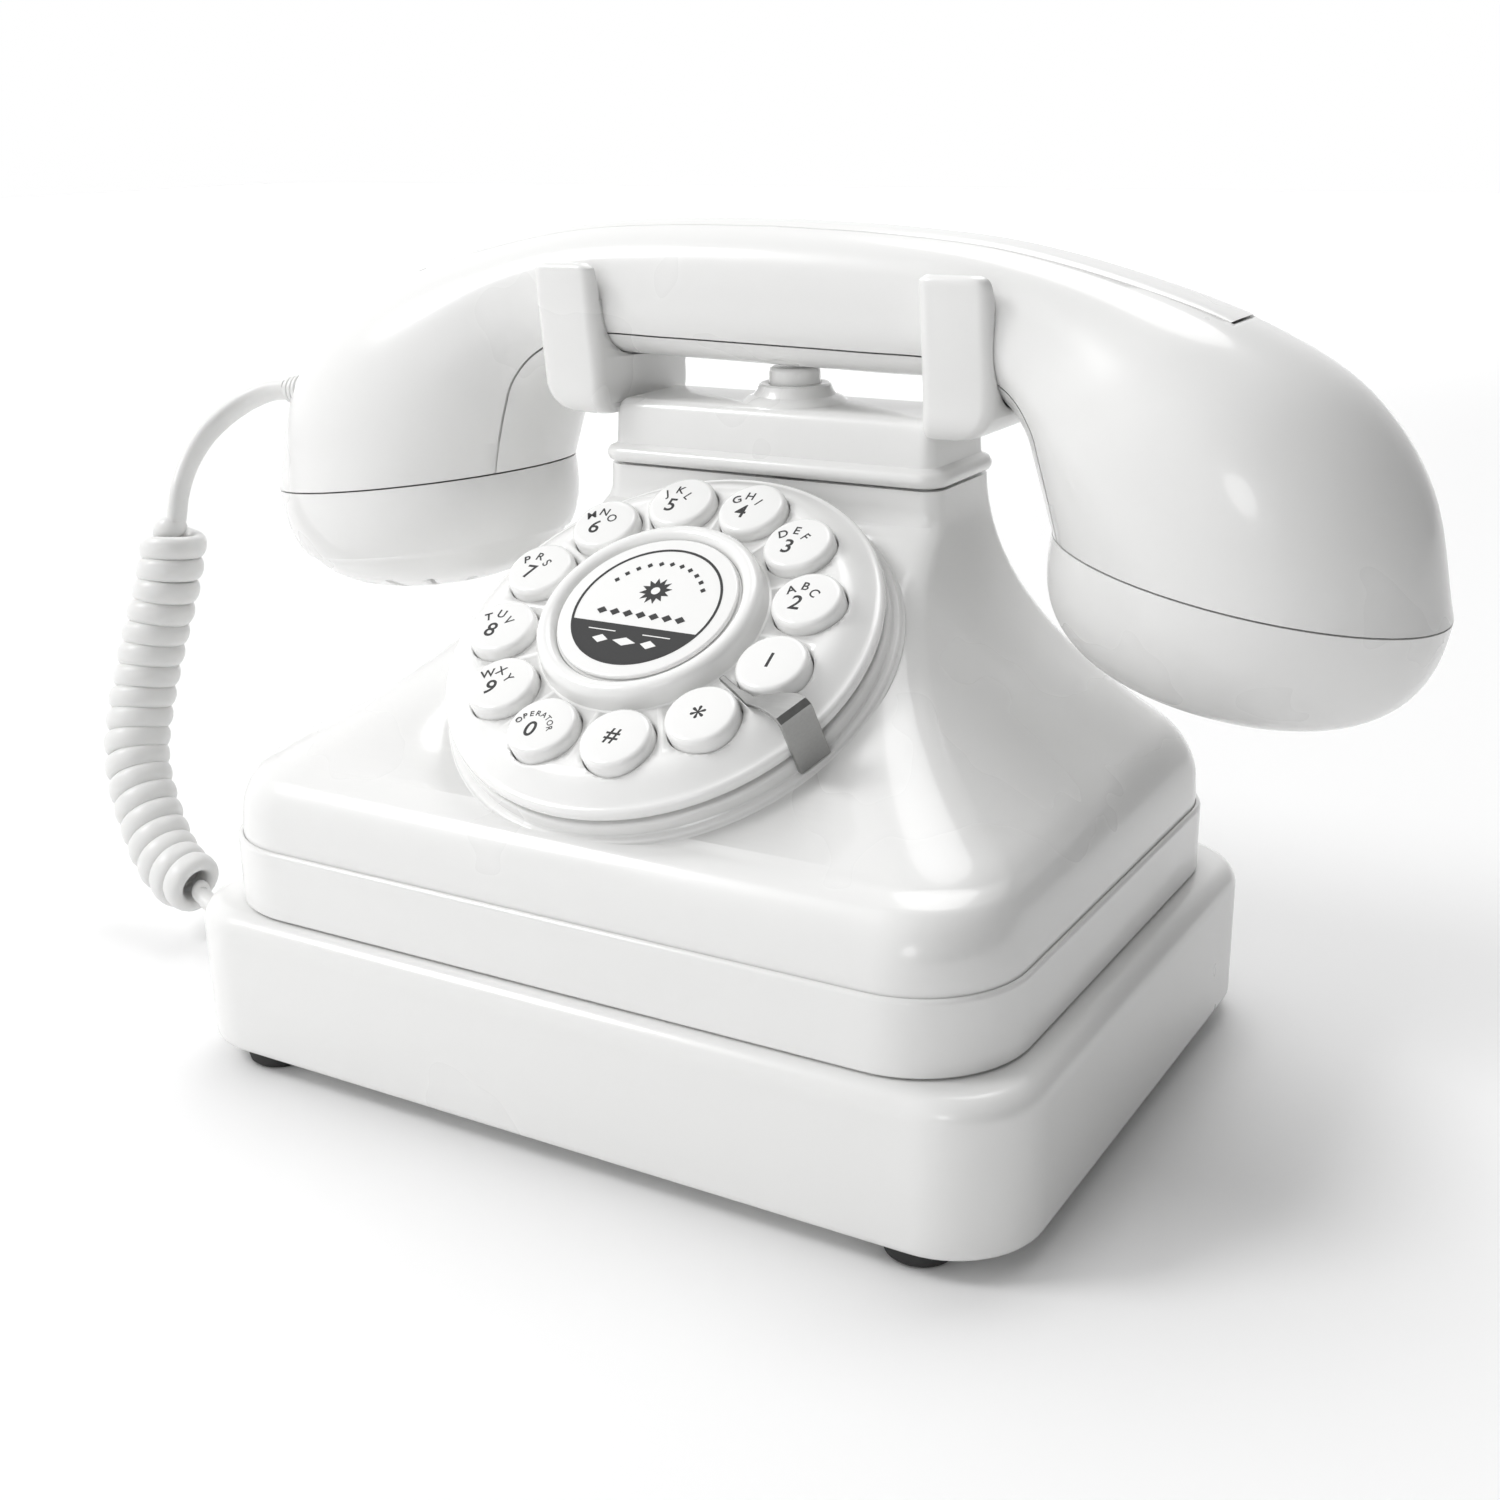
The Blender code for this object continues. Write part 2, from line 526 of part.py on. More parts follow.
def make_dial(dial, white, print_black, rubber, board_green, steel):
    face = -PLATE_DROP
    crest = face + PLATE_CROWN
    edge = 1.1 * MM
    post = 4.5 * MM
    plate_profile = [
        (0, KEY_BOARD_TOP - 1.4 * MM), (post, KEY_BOARD_TOP - 1.4 * MM), (post, PLATE_BACK),
        (SEAT_RADIUS + GAP, PLATE_BACK), (SEAT_RADIUS + GAP, PLATE_BACK - 0.7 * MM),
        (SEAT_RADIUS + 2.5 * MM, PLATE_BACK - 0.7 * MM), (SEAT_RADIUS + 2.5 * MM, PLATE_BACK),
        (PLATE_RADIUS - 0.8 * MM, PLATE_BACK), (PLATE_RADIUS, PLATE_BACK + 0.9 * MM),
        (PLATE_RADIUS, face - edge), (PLATE_RADIUS - 0.3 * edge, face - 0.3 * edge), (PLATE_RADIUS - edge, face),
        (PLATE_RADIUS - 2.7 * MM, face + 0.55 * PLATE_CROWN), (PLATE_RADIUS - 4.9 * MM, face + 0.9 * PLATE_CROWN),
        (PLATE_RADIUS - 7 * MM, crest), (0, crest),
    ]
    plate = solid("dial_plate", lambda bm: turned(bm, plate_profile, 56), white, dial)

    def key_holes(bm):
        for _, x, y in key_places():
            disc(bm, KEY_RADIUS + KEY_CLEARANCE, PLATE_BACK - 1.2 * MM, crest + 1 * MM, 16, (x, y))

    cut(plate, solid("plate_key_holes", key_holes, None, dial))
    cut(plate, solid("plate_screw_hole", lambda bm: disc(bm, 1.6 * MM, KEY_SEAT, PLATE_BACK + 1 * MM, 14), None, dial))

    recess = -BADGE_THICKNESS - GAP
    hub_foot = crest + GAP
    hub_profile = [
        (0, hub_foot), (HUB_RADIUS, hub_foot), (HUB_RADIUS - 0.5 * MM, -2.2 * MM), (HUB_RADIUS - 1.2 * MM, -0.5 * MM),
        (HUB_RADIUS - 2.0 * MM, 0), (BADGE_RADIUS + 1.1 * MM, 0), (BADGE_RADIUS + 0.5 * MM, -0.4 * MM),
        (BADGE_RADIUS + 0.4 * MM, recess), (0, recess),
    ]
    solid("dial_hub", lambda bm: turned(bm, hub_profile, 40), white, dial)
    badge_profile = [
        (0, -BADGE_THICKNESS), (BADGE_RADIUS, -BADGE_THICKNESS), (BADGE_RADIUS, -0.4 * MM),
        (BADGE_RADIUS - 0.4 * MM, -0.1 * MM), (0, -0.1 * MM),
    ]
    solid("dial_badge", lambda bm: turned(bm, badge_profile, 40), print_black, dial)

    top = -KEY_DROP
    key_profile = [
        (0, FLANGE_BACK), (KEY_RADIUS + 0.6 * MM, FLANGE_BACK), (KEY_RADIUS + 0.6 * MM, PLATE_BACK - GAP),
        (KEY_RADIUS, PLATE_BACK - GAP), (KEY_RADIUS, top - 0.7 * MM), (KEY_RADIUS - 0.25 * MM, top - 0.2 * MM),
        (KEY_RADIUS - 0.8 * MM, top), (0, top),
    ]
    for name, x, y in key_places():
        solid("key_" + name, lambda bm: turned(bm, key_profile, 16), white, dial, (x, y, 0))

    mat = solid("key_mat", lambda bm: disc(bm, SEAT_RADIUS - GAP, MAT_TOP - MAT_THICKNESS, MAT_TOP, 40), rubber, dial)
    board = solid(
        "key_board", lambda bm: disc(bm, SEAT_RADIUS - GAP, KEY_BOARD_BACK, KEY_BOARD_TOP, 40), board_green, dial
    )
    cut(mat, dial_cylinder("mat_hole", post + GAP, MAT_TOP - 3 * MM, MAT_TOP + 1 * MM, dial, 20))
    cut(board, dial_cylinder("key_board_hole", post + GAP, KEY_BOARD_BACK - 1 * MM, KEY_BOARD_TOP + 1 * MM, dial, 20))
    screw_profile = [
        (0, KEY_SEAT - 2 * MM), (3 * MM, KEY_SEAT - 2 * MM), (3 * MM, KEY_SEAT - 1 * MM), (7.5 * MM, KEY_SEAT - 1 * MM),
        (7.5 * MM, KEY_SEAT), (1.3 * MM, KEY_SEAT), (1.3 * MM, PLATE_BACK - 1 * MM), (0, PLATE_BACK - 1 * MM),
    ]
    solid("dial_screw", lambda bm: turned(bm, screw_profile, 20), steel, dial)


def make_finger_stop(dial, steel):
    """A bent strip: a thin tongue between two keys that widens to one side and turns down to the bezel."""
    tab_x = BEZEL_STEP_RADIUS + GAP
    foot = PLATE_BACK - BEZEL_CLEARANCE - BEZEL_STEP + GAP
    near, far = STOP_OFFSET, STOP_WIDTH - STOP_OFFSET
    stations = [
        (HUB_RADIUS + 1.7 * MM, 0.5 * MM, 0.5 * MM, STOP_LEVEL - 2.45 * MM, 1),
        (KEY_CIRCLE - 0.7 * MM, 0.5 * MM, 0.5 * MM, STOP_LEVEL - 2.35 * MM, 1),
        (KEY_CIRCLE + 2.8 * MM, 0.8 * MM, 1.0 * MM, STOP_LEVEL - 2.05 * MM, 1),
        (tab_x - 4.7 * MM, 0.5 * MM, 0.65 * far, STOP_LEVEL - 0.45 * MM, 1),
        (tab_x - 1.9 * MM, near, 0.93 * far, STOP_LEVEL, 1),
        (tab_x - 0.5 * MM, near, far, STOP_LEVEL, 0.8),
        (tab_x - 0.1 * MM, near, far, STOP_LEVEL - 0.35 * MM, 0.4),
        (tab_x, near, far, STOP_LEVEL - 1 * MM, 0),
        (tab_x, near, far, foot, 0),
    ]

    def strip(bm):
        rings = []
        for x, right, left, z, flat in stations:
            lift = Vector((1 - flat, 0, flat)).normalized() * STOP_THICKNESS
            rings.append([
                (x, -right, z), (x, left, z), (x + lift.x, left, z + lift.z), (x + lift.x, -right, z + lift.z)
            ])
        loft(bm, rings)

    stop = solid("finger_stop", strip, steel, dial)
    stop.rotation_euler = (0, 0, STOP_ANGLE)


# ---------------------------------------------------------------- handset shape

def handset_stations():
    """Matched points from the middle to the right cap joint: outer x, z, inner x, z, half-depth, squareness."""
    crest = GRIP_THICKNESS
    run = CUP_SPACING
    outer_end = (CUP_SPACING + CUP_HALF_WIDTH * math.cos(CUP_TILT), -CUP_DROP - CUP_HALF_WIDTH * math.sin(CUP_TILT))
    inner_end = (CUP_SPACING - CUP_HALF_WIDTH * math.cos(CUP_TILT), -CUP_DROP + CUP_HALF_WIDTH * math.sin(CUP_TILT))
    deep, wide = CUP_HALF_DEPTH, GRIP_HALF_DEPTH
    return [
        (0, crest, 0, 0, wide, 2.6),
        (0.25 * run, crest - 0.5 * MM, 0.22 * run, 0, wide, 2.6),
        (0.50 * run, crest - 2.2 * MM, 0.41 * run, -0.1 * MM, wide + 0.3 * MM, 2.5),
        (0.76 * run, crest - 6.8 * MM, 0.507 * run, -2.7 * MM, wide + 0.2 * (deep - wide), 2.35),
        (outer_end[0] - 32.5 * MM, crest - 13.2 * MM, inner_end[0] - 5.2 * MM, -7 * MM, wide + 0.55 * (deep - wide), 2.2),
        (outer_end[0] - 16 * MM, crest - 22.6 * MM, inner_end[0] - 3.3 * MM, -12 * MM, wide + 0.83 * (deep - wide), 2.1),
        (outer_end[0] - 5.2 * MM, crest - 37 * MM, inner_end[0] - 1.7 * MM, -17 * MM, wide + 0.96 * (deep - wide), 2.05),
        (outer_end[0], outer_end[1], inner_end[0], inner_end[1], deep, 2.0),
    ]


def handset_section(share):
    """Middle, direction from underside to crest, half-height, half-depth and squareness; share is -1 to 1."""
    outer_x, outer_z, inner_x, inner_z, half_depth, power = smooth_between(handset_stations(), abs(share))
    side = 1 if share >= 0 else -1
    outer, inner = Vector((side * outer_x, 0, outer_z)), Vector((side * inner_x, 0, inner_z))
    return (outer + inner) / 2, (outer - inner).normalized(), (outer - inner).length / 2, half_depth, power


def section_point(share, grow, angle):
    """Point of a section's outline; the angle runs from +Y through the crest."""
    middle, across, half, half_depth, power = handset_section(share)
    cos, sin = math.cos(angle), math.sin(angle)
    place = middle + across * (half + grow) * math.copysign(abs(sin) ** (2 / power), sin)
    return (place.x, (half_depth + grow) * math.copysign(abs(cos) ** (2 / power), cos), place.z)


def parting_angle(share, grow, depth):
    """Angle at which a section's outline stands this far above the underside."""
    _, _, half, _, power = handset_section(share)
    level = (depth - half) / (half + grow)
    return math.asin(math.copysign(abs(level) ** (power / 2), level))


def handset_skin(bm, grow, points, stations):
    """Whole outside of the handset's body from cap joint to cap joint."""
    rings = []
    for i in range(-stations, stations + 1):
        rings.append([section_point(i / stations, grow, 2 * math.pi * j / points) for j in range(points)])
    loft(bm, rings)


def half_shell(bm, upper, steps, stations):
    """One half of the handset's case: a hollow bar, open along the parting line and at both cap joints."""
    depth = LOWER_SHELL + (GAP / 2 if upper else -GAP / 2)
    rings = []
    for i in range(-stations, stations + 1):
        ring = []
        for grow in (0, -SHELL_WALL):
            start = parting_angle(i / stations, grow, depth)
            end = math.pi - start
            if not upper:
                start, end = end, start + 2 * math.pi
            if grow:
                start, end = end, start
            for j in range(steps + 1):
                ring.append(section_point(i / stations, grow, start + (end - start) * j / steps))
        rings.append(ring)
    loft(bm, rings)


def crest_bar(bm, low, high, half_width, reach, stations):
    """A bar along the crest, from low to high below its surface."""
    rings = []
    for i in range(-stations, stations + 1):
        middle, across, half, _, _ = handset_section(reach * i / stations)
        top = middle + across * half
        ring = []
        for y, depth in [(-half_width, low), (half_width, low), (half_width, high), (-half_width, high)]:
            place = top - across * depth
            ring.append((place.x, y, place.z))
        rings.append(ring)
    loft(bm, rings)


def cap_rings(side, grow, points, levels, depth):
    """Rings of a cap from its joint down to its dome."""
    centre = Vector((side * CUP_SPACING, 0, -CUP_DROP))
    across = Vector((side * math.cos(CUP_TILT), 0, -math.sin(CUP_TILT)))
    down = Vector((-side * math.sin(CUP_TILT), 0, -math.cos(CUP_TILT)))
    rings = []
    for level in range(levels + 1):
        turn = math.radians(86 * level / levels)
        width, share = math.cos(turn) ** (2 / CAP_SQUARENESS), math.sin(turn) ** (2 / CAP_SQUARENESS)
        ring = []
        for i in range(points):
            angle = 2 * math.pi * i / points
            place = centre + down * (GAP + share * (depth + grow))
            place = place + across * (CUP_HALF_WIDTH + grow) * width * math.cos(angle)
            ring.append((place.x, (CUP_HALF_DEPTH + grow) * width * math.sin(angle), place.z))
        rings.append(ring)
    return rings


def cap(bm, side):
    """A bowl: up its outside from the dome to the joint, then down its inside."""
    loft(bm, cap_rings(side, 0, 28, 8, CAP_DEPTH)[::-1] + cap_rings(side, -SHELL_WALL, 28, 6, CAP_DEPTH))


def make_handset(handset, white):
    shell = solid("handset_shell", lambda bm: half_shell(bm, True, 16, 14), white, handset, smooth=50)
    solid("handset_lower_shell", lambda bm: half_shell(bm, False, 7, 14), white, handset, smooth=50)
    cut(shell, solid("spine_groove", lambda bm: crest_bar(
        bm, -4 * MM, SPINE_DEPTH + GAP, SPINE_HALF_WIDTH + GAP, SPINE_SHARE + 0.008, 14), None, handset))
    solid("handset_spine", lambda bm: crest_bar(
        bm, -0.6 * MM, SPINE_DEPTH, SPINE_HALF_WIDTH, SPINE_SHARE, 14), white, handset)
    relief_hole = relief_datum(handset, "relief_hole_datum")
    cut(shell, solid("relief_hole", lambda bm: disc(
        bm, RELIEF_RADIUS - 1 * MM + GAP, -6 * MM, 3 * MM, 20), None, relief_hole))
    for name, side in [("mouthpiece_cap", -1), ("earpiece_cap", 1)]:
        bowl = solid(name, lambda bm: cap(bm, side), white, handset, smooth=50)
        cut(bowl, solid(name + "_sound_holes", lambda bm: sound_holes(bm, side), None, handset))


def sound_holes(bm, side):
    """Round holes through a cap's dome."""
    for reach, degrees in HOLE_RING:
        angle = math.radians(degrees)
        x = side * (CUP_SPACING - 3 * MM) + reach * math.cos(angle)
        disc(bm, 1.6 * MM, -CUP_DROP - CAP_DEPTH - 6 * MM, -CUP_DROP - CAP_DEPTH + 6 * MM, 10, (x, reach * math.sin(angle)))


def relief_datum(handset, name):
    """Where the cord leaves the mouthpiece cup: local +Z points out of the shell."""
    return add_datum(name, handset, RELIEF_PLACE, (0, RELIEF_TURN, 0))


def capsule(bm, side, radius, thickness, lift):
    """A round capsule that lies in a cup, square to the cap joint."""
    down = Vector((-side * math.sin(CUP_TILT), 0, -math.cos(CUP_TILT)))
    across = Vector((side * math.cos(CUP_TILT), 0, -math.sin(CUP_TILT)))
    centre = Vector((side * CUP_SPACING, 0, -CUP_DROP)) + down * lift
    rings = []
    for width, drop in [(1, thickness), (1, 0.3 * thickness), (0.75, 0.2 * thickness), (0.7, 0)]:
        ring = []
        for i in range(20):
            angle = 2 * math.pi * i / 20
            place = centre + down * drop + across * radius * width * math.cos(angle)
            ring.append((place.x, radius * width * math.sin(angle), place.z))
        rings.append(ring)
    loft(bm, rings)


def make_handset_inside(handset, black, steel):
    solid("receiver_capsule", lambda bm: capsule(bm, 1, 19.5 * MM, 9 * MM, 5.3 * MM), black, handset)
    solid("microphone_capsule", lambda bm: capsule(bm, -1, 19.5 * MM, 9 * MM, 5.3 * MM), black, handset)
    solid("handset_weight", lambda bm: box(
        bm, (-24 * MM, -6 * MM, SHELL_WALL + 1.1 * MM), (24 * MM, 6 * MM, SHELL_WALL + 8 * MM)), steel, handset)


def make_relief(handset, cord_white):
    datum = relief_datum(handset, "relief_datum")
    neck = RELIEF_RADIUS - 1 * MM
    profile = [
        (0, -3.5 * MM), (neck, -3.5 * MM), (neck, RELIEF_SEAT), (RELIEF_RADIUS, RELIEF_SEAT),
        (RELIEF_RADIUS + 0.2 * MM, RELIEF_SEAT + 1.6 * MM), (RELIEF_RADIUS - 1 * MM, RELIEF_SEAT + 3 * MM),
        (CORD_RADIUS + 0.7 * MM, RELIEF_SEAT + 6 * MM), (0, RELIEF_SEAT + 6 * MM),
    ]
    solid("cord_relief", lambda bm: turned(bm, profile, 20), cord_white, datum)


# ---------------------------------------------------------------- cradle

def make_cradle(base, handset, white):
    middle = TOWER_Y
    half_x = TOWER_WIDTH / 2 - 1 * MM
    half_y = TOWER_DEPTH / 2 - 0.7 * MM
    foot = TOWER_TOP + GAP
    levels = [(foot, 0)]
    for i in range(5):
        angle = math.radians(-75 + 150 * i / 4)
        levels.append((foot + BEAD_RADIUS * (1 + math.sin(angle)) + 0.2 * MM, -0.4 * MM - BEAD_RADIUS * math.cos(angle)))
    levels += [(foot + 2 * BEAD_RADIUS + 0.6 * MM, 0), (BLOCK_TOP - 3 * MM, 0.3 * MM), (BLOCK_TOP - 1 * MM, 0.9 * MM),
               (BLOCK_TOP, 2.2 * MM)]
    cradle = solid("cradle", lambda bm: block(
        bm, -half_x, half_x, middle - half_y, middle + half_y, levels, 2.6 * MM, 4), white, base)

    def boss(bm):
        turned(bm, [
            (0, BLOCK_TOP - 2 * MM), (9.5 * MM, BLOCK_TOP - 2 * MM), (9 * MM, BLOCK_TOP + 0.4 * MM),
            (7.2 * MM, BLOCK_TOP + 1.4 * MM), (6.4 * MM, BLOCK_TOP + 3.2 * MM), (0, BLOCK_TOP + 3.2 * MM),
        ], 32, (0, middle))

    join(cradle, solid("hook_boss", boss, None, base))
    for name, side in [("left_yoke", -1), ("right_yoke", 1)]:
        join(cradle, solid(name, lambda bm: yoke(bm, side, middle), None, base))
    lift = solid("saddle_shape", lambda bm: handset_skin(bm, SADDLE_CLEARANCE, 28, 11), None, handset)
    cut(cradle, lift)
    cut(cradle, solid("saddle_way_out", lambda bm: way_out(bm, middle), None, base))
    inner_x, inner_y = half_x - WALL, half_y - WALL
    cut(cradle, solid("cradle_hollow", lambda bm: block(
        bm, -inner_x, inner_x, middle - inner_y, middle + inner_y,
        [(foot - 1 * MM, 0), (BLOCK_TOP - WALL - 0.6 * MM, 0)], 1.5 * MM, 4), None, base))
    cut(cradle, solid("hook_bore", lambda bm: disc(
        bm, HOOK_RADIUS + GAP, BLOCK_TOP - 8 * MM, BLOCK_TOP + 8 * MM, 28, (0, middle)), None, base))
    return cradle


def yoke(bm, side, middle):
    """One end of the cradle: a saddle with a prong in front and a prong behind."""
    width = PRONG_OUTER_X - PRONG_INNER_X
    top, low = PRONG_TOP, BLOCK_TOP - 2.6 * MM
    levels = [
        (low, 0.45 * width, -2.6 * MM), (low + 0.5 * MM, 0.68 * width, -1.2 * MM), (low + 1.8 * MM, 0.85 * width, -0.4 * MM),
        (low + 4 * MM, 0.96 * width, 0), (low + 7 * MM, width, 0), (low + 14 * MM, width, 0.35 * PRONG_LEAN),
        (top - 3.4 * MM, width - 0.1 * MM, 0.85 * PRONG_LEAN), (top - 0.9 * MM, width - 0.5 * MM, 0.95 * PRONG_LEAN),
        (top, width - 1.4 * MM, 0.95 * PRONG_LEAN - 0.8 * MM),
    ]
    rings = []
    for z, reach, out in levels:
        x_low, x_high = PRONG_INNER_X, PRONG_INNER_X + reach
        if z == top:
            x_low += 0.9 * MM
        half = PRONG_DEPTH + out
        outline = rounded_rectangle(x_low, x_high, -half, half, 2.2 * MM, 4)
        rings.append([(side * x, middle + y, z) for x, y in (outline if side > 0 else outline[::-1])])
    loft(bm, rings)


def way_out(bm, middle):
    """The straight way up out of the saddles, as wide as the grip and wider at the prongs' tops."""
    start = GRIP_UNDERSIDE + 0.46 * GRIP_THICKNESS
    reach = PRONG_OUTER_X + 4 * MM
    half = GRIP_HALF_DEPTH + 1.0 * MM
    rings = []
    for z, wide in [(start, half), (PRONG_TOP - 5 * MM, half), (PRONG_TOP + 0.4 * MM, half + 1.6 * MM),
                    (PRONG_TOP + 5 * MM, half + 1.6 * MM)]:
        rings.append([(-reach, middle - wide, z), (reach, middle - wide, z), (reach, middle + wide, z),
                      (-reach, middle + wide, z)])
    loft(bm, rings)


def make_hook(base, white, steel, black, grey):
    """Plunger under the handset, its spring, and the switch that it works."""
    top = GRIP_UNDERSIDE - GAP - 0.1 * MM
    flange_back = HOOK_FLANGE_TOP - HOOK_FLANGE
    profile = [
        (0, BRACKET_TOP - 1.6 * MM), (1.8 * MM, BRACKET_TOP - 1.6 * MM), (1.8 * MM, flange_back),
        (HOOK_RADIUS + 1.8 * MM, flange_back), (HOOK_RADIUS + 1.8 * MM, HOOK_FLANGE_TOP), (HOOK_RADIUS, HOOK_FLANGE_TOP),
        (HOOK_RADIUS, top - 0.8 * MM), (HOOK_RADIUS - 0.8 * MM, top), (0, top),
    ]
    solid("hook_plunger", lambda bm: turned(bm, profile, 28), white, base, (0, TOWER_Y, 0))

    wire = 0.45 * MM
    coil_radius = 3.6 * MM
    low, high = BRACKET_TOP + wire + GAP, flange_back - wire - GAP
    turns = 4
    curve = bpy.data.curves.new("hook_spring", "CURVE")
    curve.dimensions = "3D"
    curve.bevel_depth = wire
    curve.bevel_resolution = 1
    curve.use_fill_caps = True
    curve.render_resolution_u = 0
    spline = curve.splines.new("POLY")
    count = turns * 12 + 1
    spline.points.add(count - 1)
    for i in range(count):
        angle = 2 * math.pi * i / 12
        z = low + (high - low) * i / (count - 1)
        spline.points[i].co = (coil_radius * math.cos(angle), coil_radius * math.sin(angle), z, 1)
    spring = bpy.data.objects.new("hook_spring", curve)
    bpy.context.scene.collection.objects.link(spring)
    spring.parent = base
    spring.location = (0, TOWER_Y, 0)
    curve.materials.append(steel)

    section = inner_half_width(BRACKET_TOP) - GAP - 0.2 * MM
    seat_back = DIAL_Y + (SEAT_RADIUS + SEAT_WALL) * math.cos(DIAL_TILT) - (KEY_SEAT - SEAT_FLOOR) * math.sin(DIAL_TILT)
    front = max(TOWER_Y - TOWER_DEPTH / 2 + WALL, seat_back) + GAP
    back = TOWER_Y + TOWER_DEPTH / 2 - WALL - GAP
    bracket = solid("hook_bracket", lambda bm: block(
        bm, -section, section, front, back, [(BRACKET_TOP - 2 * MM, 0), (BRACKET_TOP, 0)], 3.5 * MM), grey, base)
    cut(bracket, solid("bracket_hole", lambda bm: disc(
        bm, 2.2 * MM, BRACKET_TOP - 4 * MM, BRACKET_TOP + 1 * MM, 16, (0, TOWER_Y)), None, base))
    switch_top = BRACKET_TOP - 2 * MM - GAP
    solid("hook_switch", lambda bm: box(
        bm, (-6 * MM, TOWER_Y - 3 * MM, switch_top - 6 * MM), (6 * MM, TOWER_Y + 3 * MM, switch_top)), black, base)


def inner_half_width(z):
    """Half-width inside the housing at a height."""
    profile = side_profile(WALL)
    for (x_high, z_high), (x_low, z_low) in zip(profile, profile[1:]):
        if z_low <= z <= z_high:
            return x_high + (x_low - x_high) * (z_high - z) / (z_high - z_low)
    return profile[0][0]


# ---------------------------------------------------------------- cord

def route_points(route, step):
    """Evenly spaced points on a smooth curve through a route given in millimetres."""
    fine = [Vector(smooth_between(route, i / 200)) * MM for i in range(201)]
    length = sum((b - a).length for a, b in zip(fine, fine[1:]))
    count = max(2, round(length / step))
    points, travelled, target = [fine[0]], 0.0, length / count
    for a, b in zip(fine, fine[1:]):
        travelled += (b - a).length
        if travelled >= target - 1e-9 and len(points) < count:
            points.append(b)
            target += length / count
    points.append(fine[-1])
    return points


def tube(name, points, radius, resolution, material):
    curve = bpy.data.curves.new(name, "CURVE")
    curve.dimensions = "3D"
    curve.bevel_depth = radius
    curve.bevel_resolution = resolution
    curve.use_fill_caps = True
    curve.render_resolution_u = 0
    spline = curve.splines.new("POLY")
    spline.points.add(len(points) - 1)
    for place, point in zip(spline.points, points):
        place.co = (*point, 1)
    obj = bpy.data.objects.new(name, curve)
    bpy.context.scene.collection.objects.link(obj)
    curve.materials.append(material)
    return obj


def make_cord(base, cord_white, clear_plastic):
    tube("cord_tail", route_points(TAIL_ROUTE, 5 * MM), CORD_RADIUS, 2, cord_white)
    tube("cord_coil", route_points(COIL_ROUTE, 9 * MM), COIL_RADIUS, 3, cord_white)
    tube("cord_lower_tail", route_points(LOWER_ROUTE, 5 * MM), CORD_RADIUS, 2, cord_white)
    tip = jack_box(CORD_JACK)[0][0]
    solid("cord_plug", lambda bm: box(
        bm, (tip - 13 * MM, JACK_Y - 3.2 * MM, JACK_Z - 3.1 * MM), (tip + 8.5 * MM, JACK_Y + 3.2 * MM, JACK_Z + 3.1 * MM)),
        clear_plastic, base)


# ---------------------------------------------------------------- the whole phone

def main():
    clear_scene()
    white = plastic("white_abs", (0.86, 0.86, 0.86), 0.28)
    key_white = plastic("key_abs", (0.88, 0.88, 0.88), 0.25)
    badge_print = plastic("badge_print", (0.9, 0.9, 0.9), 0.2)
    rubber = plastic("black_rubber", (0.02, 0.02, 0.02), 0.7)
    mat_rubber = plastic("silicone", (0.5, 0.5, 0.5), 0.6)
    black = plastic("black_abs", (0.03, 0.03, 0.03), 0.4)
    grey = plastic("grey_abs", (0.35, 0.35, 0.35), 0.4)
    board_green = plastic("board_laminate", (0.05, 0.25, 0.1), 0.4)
    steel = plastic("steel", (0.55, 0.55, 0.56), 0.25, 1.0)
    cord_white = plastic("white_pvc", (0.8, 0.8, 0.8), 0.4)

    base = add_datum("base_datum", None, (0, 0, FOOT_HEIGHT))
    dial = add_datum("dial_datum", base, (0, DIAL_Y, DIAL_Z), (DIAL_TILT, 0, 0))
    handset = add_datum("handset_datum", base, (HANDSET_SHIFT, TOWER_Y, GRIP_UNDERSIDE), (0, HANDSET_ROLL, 0))

    make_tray(base, white)
    make_housing(base, dial, white)
    make_feet(base, rubber)
    make_base_inside(base, board_green, black, steel, grey)
    make_dial(dial, key_white, badge_print, mat_rubber, board_green, steel)
    make_finger_stop(dial, steel)
    make_cradle(base, handset, white)
    make_hook(base, white, steel, black, grey)
    make_handset(handset, white)
    make_handset_inside(handset, black, steel)
    make_relief(handset, cord_white)
    make_cord(base, cord_white, grey)


if __name__ == "__main__":
    main()
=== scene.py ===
"""Finished look of a retro desk telephone: stepped base, push-button dial, cradle, handset, curly cord.

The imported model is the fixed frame. Every operator below makes one piece, or one group of like
pieces, in the frame's own metres, and hands it to the body that carries it.
"""

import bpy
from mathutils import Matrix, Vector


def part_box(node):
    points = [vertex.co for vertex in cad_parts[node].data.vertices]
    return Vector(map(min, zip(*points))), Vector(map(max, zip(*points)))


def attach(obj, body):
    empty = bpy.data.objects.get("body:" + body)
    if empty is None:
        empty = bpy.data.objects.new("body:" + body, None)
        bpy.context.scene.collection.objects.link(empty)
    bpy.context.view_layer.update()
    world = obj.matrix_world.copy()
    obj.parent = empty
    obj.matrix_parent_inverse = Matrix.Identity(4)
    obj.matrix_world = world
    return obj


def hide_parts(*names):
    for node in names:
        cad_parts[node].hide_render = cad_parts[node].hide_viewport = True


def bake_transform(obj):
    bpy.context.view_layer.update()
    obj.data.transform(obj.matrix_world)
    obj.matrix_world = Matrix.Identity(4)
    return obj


bl_info = {
    "name": "Retro Desk Telephone",
    "version": (1, 0, 0),
    "blender": (4, 5, 0),
    "location": "3D View > Sidebar > Telephone",
    "description": "Builds the finished telephone around its packed frame",
    "category": "Object",
}

import math

